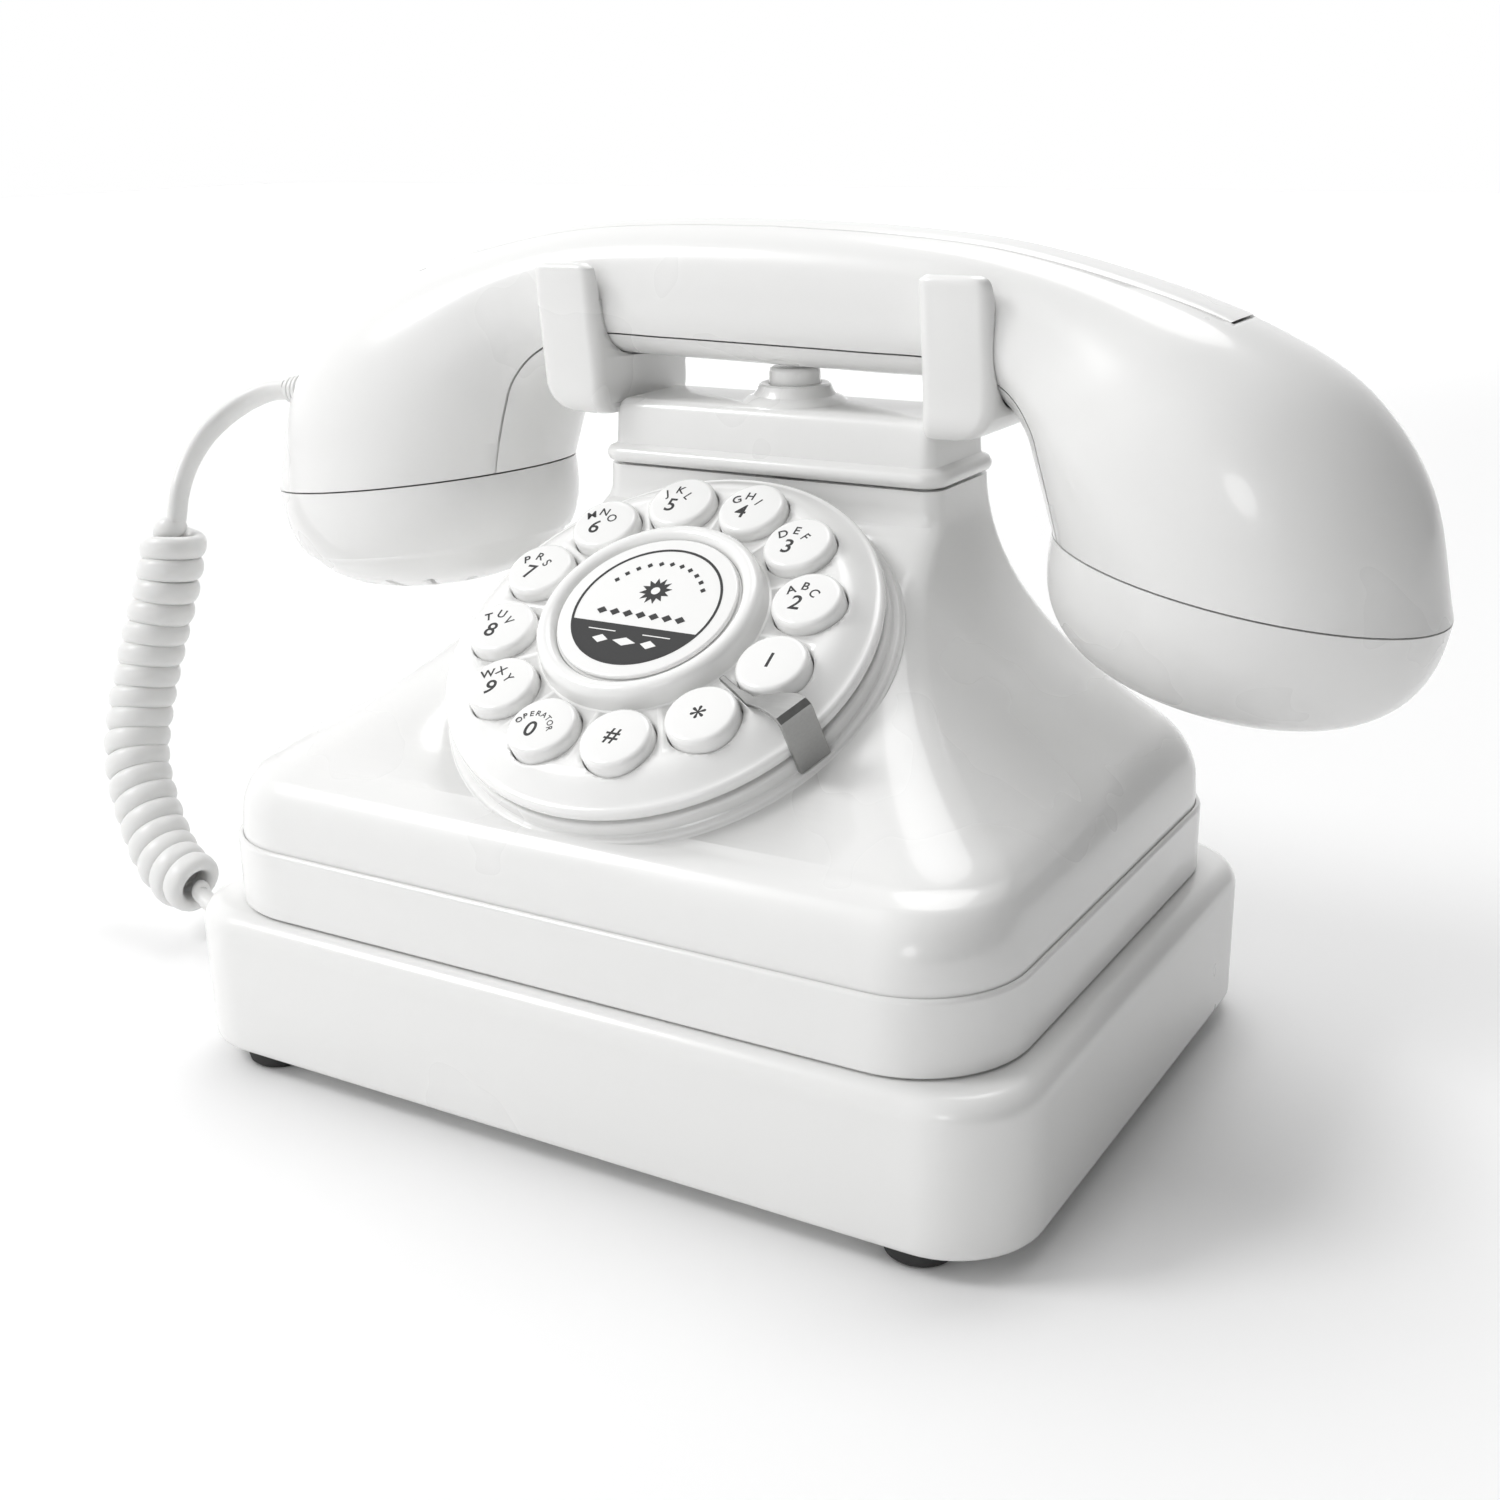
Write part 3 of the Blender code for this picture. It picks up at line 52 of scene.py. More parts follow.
import bmesh
import bpy
from bpy.props import FloatProperty, FloatVectorProperty, IntProperty, PointerProperty
from mathutils import Matrix, Vector
from mathutils.geometry import interpolate_bezier

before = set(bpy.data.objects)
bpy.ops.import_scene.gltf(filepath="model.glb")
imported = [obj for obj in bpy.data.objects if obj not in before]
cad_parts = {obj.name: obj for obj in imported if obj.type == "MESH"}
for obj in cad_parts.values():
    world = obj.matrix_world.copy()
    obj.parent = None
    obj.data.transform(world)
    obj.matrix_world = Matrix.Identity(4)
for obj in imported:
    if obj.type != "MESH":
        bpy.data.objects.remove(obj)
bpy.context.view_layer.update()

MM = 0.001
GAP = 0.3 * MM

# Base
FOOT_HEIGHT = 3.5 * MM
FOOT_RADIUS = 5.8 * MM
FOOT_PLACE = (63.5 * MM, 50.3 * MM)
SCREW_PLACE = (54.35 * MM, 41.35 * MM)
TRAY_WIDTH = 160 * MM
TRAY_DEPTH = 116.6 * MM
TRAY_CORNER = 15 * MM
TRAY_HEIGHT = 25.9 * MM
WALL = 2.4 * MM
HOUSING_WIDTH = 148.7 * MM
HOUSING_DEPTH = 110.7 * MM
HOUSING_CORNER = 18.2 * MM
BAND_HEIGHT = 12.6 * MM
BAND_TOP = TRAY_HEIGHT + BAND_HEIGHT
LIP = 0.8 * MM
LIP_GROOVE = 0.35 * MM
SHOULDER_RISE = 13 * MM
SHOULDER_REACH = 9.4 * MM
TOWER_WIDTH = 67 * MM
TOWER_DEPTH = 23.4 * MM
TOWER_CORNER = 3.5 * MM
TOWER_Y = 27.3 * MM
TOWER_TOP = 95.2 * MM

# Dial
DIAL_TILT = math.radians(32.2)
DIAL_Y = -22.9 * MM
DIAL_Z = 81.2 * MM
PLATE_RADIUS = 37.9 * MM
PLATE_FACE = -6.7 * MM
PLATE_CROWN = 2.7 * MM
PLATE_CREST = PLATE_FACE + PLATE_CROWN
PLATE_BACK = -9.1 * MM
KEY_CIRCLE = 26.7 * MM
KEY_RADIUS = 6 * MM
KEY_TOP = -1.7 * MM
KEY_DOME = 0.12 * MM
KEY_FLANGE_BACK = -10.3 * MM
FIRST_KEY_ANGLE = -44.2
KEY_LEGENDS = {
    "star": ("*", ""), "1": ("1", ""), "2": ("2", "ABC"), "3": ("3", "DEF"), "4": ("4", "GHI"),
    "5": ("5", "JKL"), "6": ("6", "MNO"), "7": ("7", "PRS"), "8": ("8", "TUV"), "9": ("9", "WXY"),
    "0": ("0", "OPERATOR"), "hash": ("#", ""),
}
HUB_RADIUS = 19.6 * MM
BADGE_RADIUS = 15.7 * MM
BADGE_FACE = -0.45 * MM
PRINT_HEIGHT = 0.05 * MM
BEZEL_RADIUS = 39.4 * MM
BEZEL_STEP_RADIUS = 38 * MM
BEZEL_STEP_TOP = -9.9 * MM
BEZEL_TOP = -12.4 * MM
SLOPE_DROP = 13.3 * MM
SEAT_RADIUS = 34 * MM
STOP_ANGLE = math.radians(-29.2)

# Cradle
BEAD_RADIUS = 1.5 * MM
BLOCK_TOP = 107 * MM
PRONG_TOP = 131.3 * MM
PRONG_OUTER_X = 44.5 * MM
PRONG_INNER_X = 31.6 * MM
PRONG_DEPTH = 15.3 * MM
PRONG_LEAN = 2.2 * MM
HOOK_RADIUS = 4.6 * MM
SADDLE_CLEARANCE = 0.35 * MM

# Handset
GRIP_UNDERSIDE = 113.6 * MM
GRIP_THICKNESS = 24.5 * MM
GRIP_HALF_DEPTH = 13.4 * MM
HANDSET_SHIFT = -0.8 * MM
HANDSET_ROLL = math.radians(1.0)
CUP_SPACING = 84.6 * MM
CUP_HALF_WIDTH = 32.6 * MM
CUP_HALF_DEPTH = 26 * MM
CUP_DROP = 27.2 * MM
CUP_TILT = math.radians(8.5)
CAP_DEPTH = 22.5 * MM
CAP_SQUARENESS = 2.7
SHELL_WALL = 2.2 * MM
LOWER_SHELL = 4.6 * MM
SPINE_HALF_WIDTH = 5.6 * MM
SPINE_SHARE = 0.545
RELIEF_PLACE = (-112.2 * MM, -1.5 * MM, -13.2 * MM)
RELIEF_TURN = math.radians(-93)

# Cord: where its centre runs, in millimetres above the surface the phone stands on
COIL_RADIUS = 6.7 * MM
JACK_Y = -22 * MM
JACK_Z = 13 * MM
PLUG_TIP_X = -79.6 * MM
TAIL_ROUTE = [
    (-120.45, 25.8, 105.6), (-125.5, 25.4, 105), (-130.3, 23.5, 103), (-133.7, 19.5, 99.8), (-135, 14.5, 96),
    (-134.8, 9.5, 91.5), (-134, 5.6, 86.6), (-133.97, 3.72, 80.93),
]
COIL_ROUTE = [
    (-134, 3.6, 80.5), (-134.8, 0.5, 69), (-137, -3.5, 56), (-138, -8, 43), (-136.5, -12, 33),
    (-131, -15.5, 23.5), (-122.5, -19, 15), (-111.5, -21.5, 10.8),
]
LOWER_ROUTE = [
    (-111.09, -21.59, 10.64), (-107.4, -22.4, 9.3), (-103.4, -22.6, 9.8), (-99.8, -22.3, 12.6),
    (-96.9, -22, 16), (-93.2, -22, 16.5),
]

BASE = Matrix.Translation((0, 0, FOOT_HEIGHT))
DIAL = BASE @ Matrix.Translation((0, DIAL_Y, DIAL_Z)) @ Matrix.Rotation(DIAL_TILT, 4, "X")
HANDSET_PLACE = (HANDSET_SHIFT, TOWER_Y, GRIP_UNDERSIDE)
HANDSET = BASE @ Matrix.Translation(HANDSET_PLACE) @ Matrix.Rotation(HANDSET_ROLL, 4, "Y")
RELIEF = HANDSET @ Matrix.Translation(RELIEF_PLACE) @ Matrix.Rotation(RELIEF_TURN, 4, "Y")


def linear(code):
    """Linear colour of an sRGB hex value such as #F2F2F0."""
    parts = [int(code[i:i + 2], 16) / 255 for i in (1, 3, 5)]
    return [part / 12.92 if part <= 0.04045 else ((part + 0.055) / 1.055) ** 2.4 for part in parts]


# ---------------------------------------------------------------- settings in the sidebar

def length_setting(name, meaning, default):
    return FloatProperty(name=name, description=meaning, default=default, unit="LENGTH")


def colour_setting(name, meaning, code):
    return FloatVectorProperty(name=name, description=meaning, subtype="COLOR", size=3, default=linear(code))


class PhoneSizes(bpy.types.PropertyGroup):
    cord_width: length_setting("Cord width", "Width of the flat cord", 4.8 * MM)
    cord_thickness: length_setting("Cord thickness", "Thickness of the flat cord", 3.2 * MM)
    cord_turns: IntProperty(name="Cord turns", description="Turns in the curly part", default=19)
    key_edge: length_setting("Key edge", "Rounding of the key tops", 1.0 * MM)
    digit_size: length_setting("Digit size", "Type size of the digits", 4.2 * MM)
    letter_size: length_setting("Letter size", "Type size of the letters", 2.4 * MM)
    tray_edge: length_setting("Tray edge", "Rounding of the tray's top edge", 4 * MM)


class PhoneColours(bpy.types.PropertyGroup):
    case: colour_setting("Case", "Moulded case", "#E9E9E8")
    keys: colour_setting("Keys", "Keys and dial", "#F0F0EF")
    cord: colour_setting("Cord", "Vinyl cord", "#E4E4E3")
    ink: colour_setting("Ink", "Printing", "#1B1B1C")
    floor: colour_setting("Floor", "Surface under the phone", "#F4F4F4")


# ---------------------------------------------------------------- materials

def add_node(tree, kind, inputs, **settings):
    """Adds one node with its settings; an input is a plain value or another node's output."""
    made = tree.nodes.new(kind)
    for name, value in settings.items():
        setattr(made, name, value)
    for name, value in inputs.items():
        if isinstance(value, bpy.types.NodeSocket):
            tree.links.new(value, made.inputs[name])
        else:
            made.inputs[name].default_value = value
    return made


def material(name, build, *values):
    """The named material, built on its first use."""
    made = bpy.data.materials.get(name)
    if made:
        return made
    made = bpy.data.materials.new(name)
    made.use_nodes = True
    build(made.node_tree, made.node_tree.nodes["Principled BSDF"], *values)
    return made


def wire(tree, shader, name, output):
    tree.links.new(output, shader.inputs[name])


def own_place(tree):
    """Where a point lies in its piece's own space, in metres."""
    return add_node(tree, "ShaderNodeTexCoord", {}).outputs["Object"]


def clouds(tree, place, size_mm, detail):
    """Cloudy pattern of about this grain, as a value."""
    return add_node(tree, "ShaderNodeTexNoise", {
        "Vector": place, "Scale": 1000 / size_mm, "Detail": detail}).outputs["Fac"]


def tinted(tree, shader, pattern, low, high):
    """Base colour that a pattern takes from one colour to another."""
    tint = add_node(tree, "ShaderNodeMix", {"Factor": pattern}, data_type="RGBA")
    tint.inputs["A"].default_value = (*low, 1)
    tint.inputs["B"].default_value = (*high, 1)
    wire(tree, shader, "Base Color", tint.outputs["Result"])


def gloss_between(tree, shader, pattern, smooth, dull, start=0.0, end=1.0):
    """Roughness that a pattern takes from smooth to dull."""
    gloss = add_node(tree, "ShaderNodeMapRange", {
        "Value": pattern, "From Min": start, "From Max": end, "To Min": smooth, "To Max": dull})
    wire(tree, shader, "Roughness", gloss.outputs["Result"])


def bumped(tree, shader, pattern, strength, depth):
    bump = add_node(tree, "ShaderNodeBump", {"Height": pattern, "Strength": strength, "Distance": depth})
    wire(tree, shader, "Normal", bump.outputs["Normal"])


def shaded(colour, share):
    return [part * share for part in colour]


def moulded(tree, shader, colour, smooth, dull, peel_mm, peel_depth_mm):
    """Injection-moulded plastic: faint orange peel, patches a shade apart, gloss that wanders a little."""
    place = own_place(tree)
    patches = clouds(tree, place, 45, 3.0)
    tinted(tree, shader, patches, colour, shaded(colour, 0.988))
    gloss_between(tree, shader, patches, smooth, dull, 0.3, 0.7)
    bumped(tree, shader, clouds(tree, place, peel_mm, 2.0), 0.35, peel_depth_mm * MM)
    shader.inputs["IOR"].default_value = 1.53


def case_abs(tree, shader, colour):
    """White ABS with a satin gloss: broad soft highlights, edges that stay crisp."""
    moulded(tree, shader, colour, 0.26, 0.32, 1.6, 0.012)
    shader.inputs["Coat Weight"].default_value = 0.5
    shader.inputs["Coat Roughness"].default_value = 0.07
    shader.inputs["Subsurface Weight"].default_value = 0.06
    shader.inputs["Subsurface Radius"].default_value = (1.5 * MM, 1.5 * MM, 1.4 * MM)


def key_abs(tree, shader, colour):
    """The same resin polished brighter, as keys are."""
    moulded(tree, shader, colour, 0.18, 0.25, 1.2, 0.012)
    shader.inputs["Coat Weight"].default_value = 0.3
    shader.inputs["Coat Roughness"].default_value = 0.08


def soft_vinyl(tree, shader, colour):
    """Plasticised PVC sheath: waxy, a little see-through at its edges, with faint draw lines."""
    moulded(tree, shader, colour, 0.32, 0.42, 0.9, 0.03)
    shader.inputs["Subsurface Weight"].default_value = 0.15
    shader.inputs["Subsurface Radius"].default_value = (1.2 * MM, 1.1 * MM, 1.0 * MM)


def grey_abs(tree, shader, colour):
    """Dull engineering plastic with a spark-eroded grain."""
    moulded(tree, shader, colour, 0.45, 0.58, 0.5, 0.03)


def dome_rubber(tree, shader, colour):
    """Natural or silicone rubber: no gloss, a fine powdery grain."""
    moulded(tree, shader, colour, 0.72, 0.85, 0.4, 0.05)
    shader.inputs["Sheen Weight"].default_value = 0.2
    shader.inputs["Sheen Roughness"].default_value = 0.6


def pad_ink(tree, shader, colour):
    """Pad-printed ink: dense, flat, half matt, thin at its own grain."""
    thin = [part * 1.5 + 0.002 for part in colour]
    tinted(tree, shader, clouds(tree, own_place(tree), 0.35, 2.0), colour, thin)
    shader.inputs["Roughness"].default_value = 0.4


def brushed_steel(tree, shader, colour):
    """Stainless strip brushed along its length: long fine scratches that stretch the highlight."""
    lay = add_node(tree, "ShaderNodeMapping", {
        "Vector": own_place(tree), "Rotation": (DIAL_TILT, 0, -STOP_ANGLE), "Scale": (60, 2400, 2400)})
    scratch = clouds(tree, lay.outputs["Vector"], 1000, 4.0)
    tinted(tree, shader, scratch, shaded(colour, 0.8), colour)
    gloss_between(tree, shader, scratch, 0.24, 0.42)
    bumped(tree, shader, scratch, 0.2, 0.02 * MM)
    shader.inputs["Metallic"].default_value = 1.0
    shader.inputs["Anisotropic"].default_value = 0.5


def zinc_steel(tree, shader, colour):
    """Zinc-plated steel: bright, with the cloudy spangle of the bath."""
    spangle = add_node(tree, "ShaderNodeTexVoronoi", {"Vector": own_place(tree), "Scale": 1000 / 1.5})
    gloss_between(tree, shader, spangle.outputs["Distance"], 0.2, 0.4)
    shader.inputs["Base Color"].default_value = (*colour, 1)
    shader.inputs["Metallic"].default_value = 1.0


def board_laminate(tree, shader, colour):
    """Glass-epoxy board under green solder mask, with the copper tracks standing a shade lighter."""
    tracks = add_node(tree, "ShaderNodeTexBrick", {
        "Vector": own_place(tree), "Scale": 1000 / 6, "Mortar Size": 0.08, "Brick Width": 0.9,
        "Row Height": 0.35})
    tracks.inputs["Color1"].default_value = (*colour, 1)
    tracks.inputs["Color2"].default_value = (*shaded(colour, 0.85), 1)
    tracks.inputs["Mortar"].default_value = (*shaded(colour, 1.8), 1)
    wire(tree, shader, "Base Color", tracks.outputs["Color"])
    shader.inputs["Roughness"].default_value = 0.3


def clear_polycarbonate(tree, shader, colour):
    """Clear plug moulding: water-white, sharp reflections, small sink marks."""
    moulded(tree, shader, colour, 0.08, 0.14, 2.0, 0.03)
    shader.inputs["Transmission Weight"].default_value = 0.75
    shader.inputs["IOR"].default_value = 1.58


def matt_backdrop(tree, shader, colour):
    """Seamless studio paper."""
    gloss_between(tree, shader, clouds(tree, own_place(tree), 3, 3.0), 0.45, 0.6)
    shader.inputs["Base Color"].default_value = (*colour, 1)
    shader.inputs["Specular IOR Level"].default_value = 0.35


def colours():
    return bpy.context.scene.phone_colours


def sizes():
    return bpy.context.scene.phone_sizes


def case_material():
    return material("white_abs_satin", case_abs, colours().case)


def key_material():
    return material("white_abs_polished", key_abs, colours().keys)


def cord_material():
    return material("white_soft_vinyl", soft_vinyl, colours().cord)


def ink_material():
    return material("black_pad_print", pad_ink, colours().ink)


def rubber_material():
    return material("black_rubber", dome_rubber, linear("#1E1E1F"))


def steel_material():
    return material("brushed_stainless", brushed_steel, linear("#A9A9A8"))


def zinc_material():
    return material("zinc_plated_steel", zinc_steel, linear("#B9BBBC"))


# ---------------------------------------------------------------- mesh helpers

def mesh_object(name, bm, surface, smooth=30):
    """Links a bmesh as an object at the origin, faces outwards and shaded smooth."""
    bmesh.ops.recalc_face_normals(bm, faces=bm.faces)
    mesh = bpy.data.meshes.new(name)
    bm.to_mesh(mesh)
    bm.free()
    mesh.shade_smooth()
    mesh.set_sharp_from_angle(angle=math.radians(smooth))
    obj = bpy.data.objects.new(name, mesh)
    bpy.context.scene.collection.objects.link(obj)
    if surface:
        mesh.materials.append(surface)
    return obj


def shape(name, build, surface=None, place=BASE, smooth=30):
    """Runs a builder on a fresh bmesh, puts it in place and makes its object."""
    bm = bmesh.new()
    build(bm)
    bm.transform(place)
    return mesh_object(name, bm, surface, smooth)


def bake(obj):
    """Turns live modifiers into plain mesh and drops them."""
    graph = bpy.context.evaluated_depsgraph_get()
    mesh = bpy.data.meshes.new_from_object(obj.evaluated_get(graph), depsgraph=graph)
    obj.modifiers.clear()
    old = obj.data
    obj.data = mesh
    bpy.data.meshes.remove(old)
    mesh.name = obj.name


def boolean(obj, tool, operation="DIFFERENCE"):
    """Cuts or joins a tool, which is then removed."""
    modifier = obj.modifiers.new("tool", "BOOLEAN")
    modifier.operation = operation
    modifier.solver = "EXACT"
    modifier.object = tool
    bpy.context.view_layer.update()
    bake(obj)
    bpy.data.objects.remove(tool, do_unlink=True)


def settle(obj, body, finish, *nodes):
    """The piece rides on a body and stands for CAD nodes, which are hidden; the finish is not used."""
    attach(obj, body)
    if nodes:
        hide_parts(*nodes)


def loft(bm, rings, joined=False):
    """Closed skin through rings of equally many points; its ends are capped, or joined into a loop."""
    rows = [[bm.verts.new(point) for point in ring] for ring in rings]
    pairs = list(zip(rows, rows[1:]))
    if joined:
        pairs.append((rows[-1], rows[0]))
    count = len(rows[0])
    for low, high in pairs:
        for i in range(count):
            j = (i + 1) % count
            bm.faces.new((low[i], low[j], high[j], high[i]))
    if not joined:
        bm.faces.new(rows[0][::-1])
        bm.faces.new(rows[-1])


def rounded_rectangle(x_low, x_high, y_low, y_high, radius, steps=14):
    points = []
    corners = [(x_high, y_low, -90), (x_high, y_high, 0), (x_low, y_high, 90), (x_low, y_low, 180)]
    for x, y, start in corners:
        centre_x = x - math.copysign(radius, x - (x_low + x_high) / 2)
        centre_y = y - math.copysign(radius, y - (y_low + y_high) / 2)
        for i in range(steps + 1):
            angle = math.radians(start + 90 * i / steps)
            points.append((centre_x + radius * math.cos(angle), centre_y + radius * math.sin(angle)))
    return points


def stack(x_half, y_low, y_high, levels, radius, steps=14):
    """Rings of rounded rectangles; levels are (z, inset) pairs."""
    rings = []
    for z, inset in levels:
        corner = max(radius - inset, 0.3 * MM)
        outline = rounded_rectangle(
            -x_half + inset, x_half - inset, y_low + inset, y_high - inset, corner, steps)
        rings.append([(x, y, z) for x, y in outline])
    return rings


def box(bm, low, high):
    outline = rounded_rectangle(low[0], high[0], low[1], high[1], 0.4 * MM, 4)
    loft(bm, [[(x, y, z) for x, y in outline] for z in (low[2], high[2])])


def turned(bm, profile, segments=96, centre=(0, 0)):
    """A turned solid; its profile runs (radius, z) from the axis to the axis, or round a ring's section."""
    rows = []
    for radius, z in profile:
        count = segments if radius else 1
        row = []
        for i in range(count):
            angle = 2 * math.pi * i / segments
            x, y = centre[0] + radius * math.cos(angle), centre[1] + radius * math.sin(angle)
            row.append(bm.verts.new((x, y, z)))
        rows.append(row)
    for low, high in zip(rows, rows[1:] + rows[:1]):
        if len(low) == 1 and len(high) == 1:
            continue
        for i in range(segments):
            j = (i + 1) % segments
            if len(low) == 1:
                bm.faces.new((low[0], high[j], high[i]))
            elif len(high) == 1:
                bm.faces.new((low[i], low[j], high[0]))
            else:
                bm.faces.new((low[i], low[j], high[j], high[i]))


def fillet(radius, z, edge, steps=6):
    """Points round a convex edge, from the side at z - edge to the top at radius - edge."""
    points = []
    for i in range(steps + 1):
        angle = math.radians(90 * i / steps)
        points.append((radius - edge * (1 - math.cos(angle)), z - edge * (1 - math.sin(angle))))
    return points


def smooth_between(points, share):
    """Catmull-Rom point at a share, 0 to 1, of a list of equally spaced tuples."""
    place = share * (len(points) - 1)
    i = min(int(place), len(points) - 2)
    t = place - i
    before = points[i - 1] if i else [2 * a - b for a, b in zip(points[0], points[1])]
    after = points[i + 2] if i + 2 < len(points) else [2 * a - b for a, b in zip(points[-1], points[-2])]
    result = []
    for a, b, c, d in zip(before, points[i], points[i + 1], after):
        curve = 2 * b + (c - a) * t + (2 * a - 5 * b + 4 * c - d) * t**2 + (3 * b - a - 3 * c + d) * t**3
        result.append(curve / 2)
    return result


def copies_tree():
    """Geometry nodes: one shape on every point, its X axis turned away from the middle."""
    name = "copies_round_a_middle"
    if name in bpy.data.node_groups:
        return bpy.data.node_groups[name]
    tree = bpy.data.node_groups.new(name, "GeometryNodeTree")
    face = tree.interface
    face.new_socket("Points", in_out="INPUT", socket_type="NodeSocketGeometry")
    face.new_socket("Shape", in_out="INPUT", socket_type="NodeSocketObject")
    face.new_socket("Scale", in_out="INPUT", socket_type="NodeSocketFloat")
    face.new_socket("Material", in_out="INPUT", socket_type="NodeSocketMaterial")
    face.new_socket("Geometry", in_out="OUTPUT", socket_type="NodeSocketGeometry")
    given = add_node(tree, "NodeGroupInput", {}).outputs
    spot = add_node(tree, "GeometryNodeInputPosition", {})
    turn = add_node(tree, "FunctionNodeAlignRotationToVector", {"Vector": spot.outputs["Position"]}, axis="X")
    model = add_node(tree, "GeometryNodeObjectInfo", {"Object": given["Shape"]})
    copies = add_node(tree, "GeometryNodeInstanceOnPoints", {
        "Points": given["Points"], "Instance": model.outputs["Geometry"],
        "Rotation": turn.outputs["Rotation"], "Scale": given["Scale"]})
    real = add_node(tree, "GeometryNodeRealizeInstances", {"Geometry": copies.outputs["Instances"]})
    dressed = add_node(tree, "GeometryNodeSetMaterial", {
        "Geometry": real.outputs["Geometry"], "Material": given["Material"]})
    add_node(tree, "NodeGroupOutput", {"Geometry": dressed.outputs["Geometry"]})
    return tree


def copies(name, places, build, surface, place=BASE, smooth=30):
    """One mesh with a copy of a small shape at each (x, y) place."""
    model = shape(name + "_model", build, surface, Matrix.Identity(4), smooth)
    bm = bmesh.new()
    for x, y in places:
        bm.verts.new((x, y, 0))
    obj = mesh_object(name, bm, surface)
    tree = copies_tree()
    modifier = obj.modifiers.new("copies", "NODES")
    modifier.node_group = tree
    values = {"Shape": model, "Scale": 1.0, "Material": surface}
    for item in tree.interface.items_tree:
        if item.in_out == "INPUT" and item.name in values:
            modifier[item.identifier] = values[item.name]
    bpy.context.view_layer.update()
    bake(obj)
    obj.data.transform(place)
    bpy.data.objects.remove(model, do_unlink=True)
    return obj


def four(x, y):
    return [(i * x, j * y) for i in (-1, 1) for j in (-1, 1)]


# ---------------------------------------------------------------- base

def side_profile(inset):
    """Half-width of the housing against height, from the tower's top to the shoulder's foot."""
    top = Vector((TOWER_WIDTH / 2 - inset, TOWER_TOP - inset, 0))
    bend = Vector((HOUSING_WIDTH / 2 - 8 * MM - inset, BAND_TOP + 14.6 * MM - inset / 2, 0))
    foot = Vector((HOUSING_WIDTH / 2 - LIP - inset, BAND_TOP, 0))
    sweep = interpolate_bezier(
        top, top + Vector((0.6 * MM, -20 * MM, 0)), bend + Vector((-16 * MM, 9.5 * MM, 0)), bend, 40)
    turn = interpolate_bezier(
        bend, bend + Vector((5 * MM, -3 * MM, 0)), foot + Vector((-0.4 * MM, 7 * MM, 0)), foot, 18)
    return [(p.x, p.y) for p in sweep[:-1] + turn]


def slope_y(z):
    """The dial's slope: y of the front surface at a height."""
    foot_y = DIAL_Y + SLOPE_DROP * math.sin(DIAL_TILT)
    foot_z = DIAL_Z - SLOPE_DROP * math.cos(DIAL_TILT)
    return foot_y + (z - foot_z) / math.tan(DIAL_TILT)


def housing_section(half_width, z, inset):
    """Outline of the housing above its band at a height; the front leans with the dial's slope."""
    share = max(0.0, (TOWER_TOP - z) / (TOWER_TOP - BAND_TOP))
    band_front = -HOUSING_DEPTH / 2 + LIP
    front = min(TOWER_Y - TOWER_DEPTH / 2, max(slope_y(z), band_front))
    if z < BAND_TOP + SHOULDER_RISE:
        rise = (z - BAND_TOP) / SHOULDER_RISE
        front = band_front + SHOULDER_REACH * (1 - math.sqrt(max(0.0, 1 - rise**2)))
        front = max(front, slope_y(z)) if rise > 0.9 else front
    back = TOWER_Y + TOWER_DEPTH / 2
    back += (HOUSING_DEPTH / 2 - LIP - back) * min(1, share * 1.12) ** 1.5
    corner = TOWER_CORNER + (HOUSING_CORNER - LIP - TOWER_CORNER) * min(1, share * 1.05) ** 1.6
    outline = rounded_rectangle(
        -half_width, half_width, front + inset, back - inset, max(corner - inset, 1 * MM))
    return [(x, y, z) for x, y in outline]


def housing_rings(inset):
    """Rings from the band's foot, over its lip and groove, up to the tower's top."""
    foot = TRAY_HEIGHT + GAP
    levels = [(foot, inset + 0.3 * MM), (foot + 0.3 * MM, inset)]
    levels += [(z, inset + HOUSING_WIDTH / 2 - x) for x, z in fillet(HOUSING_WIDTH / 2, BAND_TOP, LIP)]
    levels.append((BAND_TOP - LIP_GROOVE, inset + LIP + 0.2 * MM))
    rings = stack(HOUSING_WIDTH / 2, -HOUSING_DEPTH / 2, HOUSING_DEPTH / 2, levels, HOUSING_CORNER)
    for half, z in reversed(side_profile(inset)[:-1]):
        rings.append(housing_section(half, z, inset))
    return rings


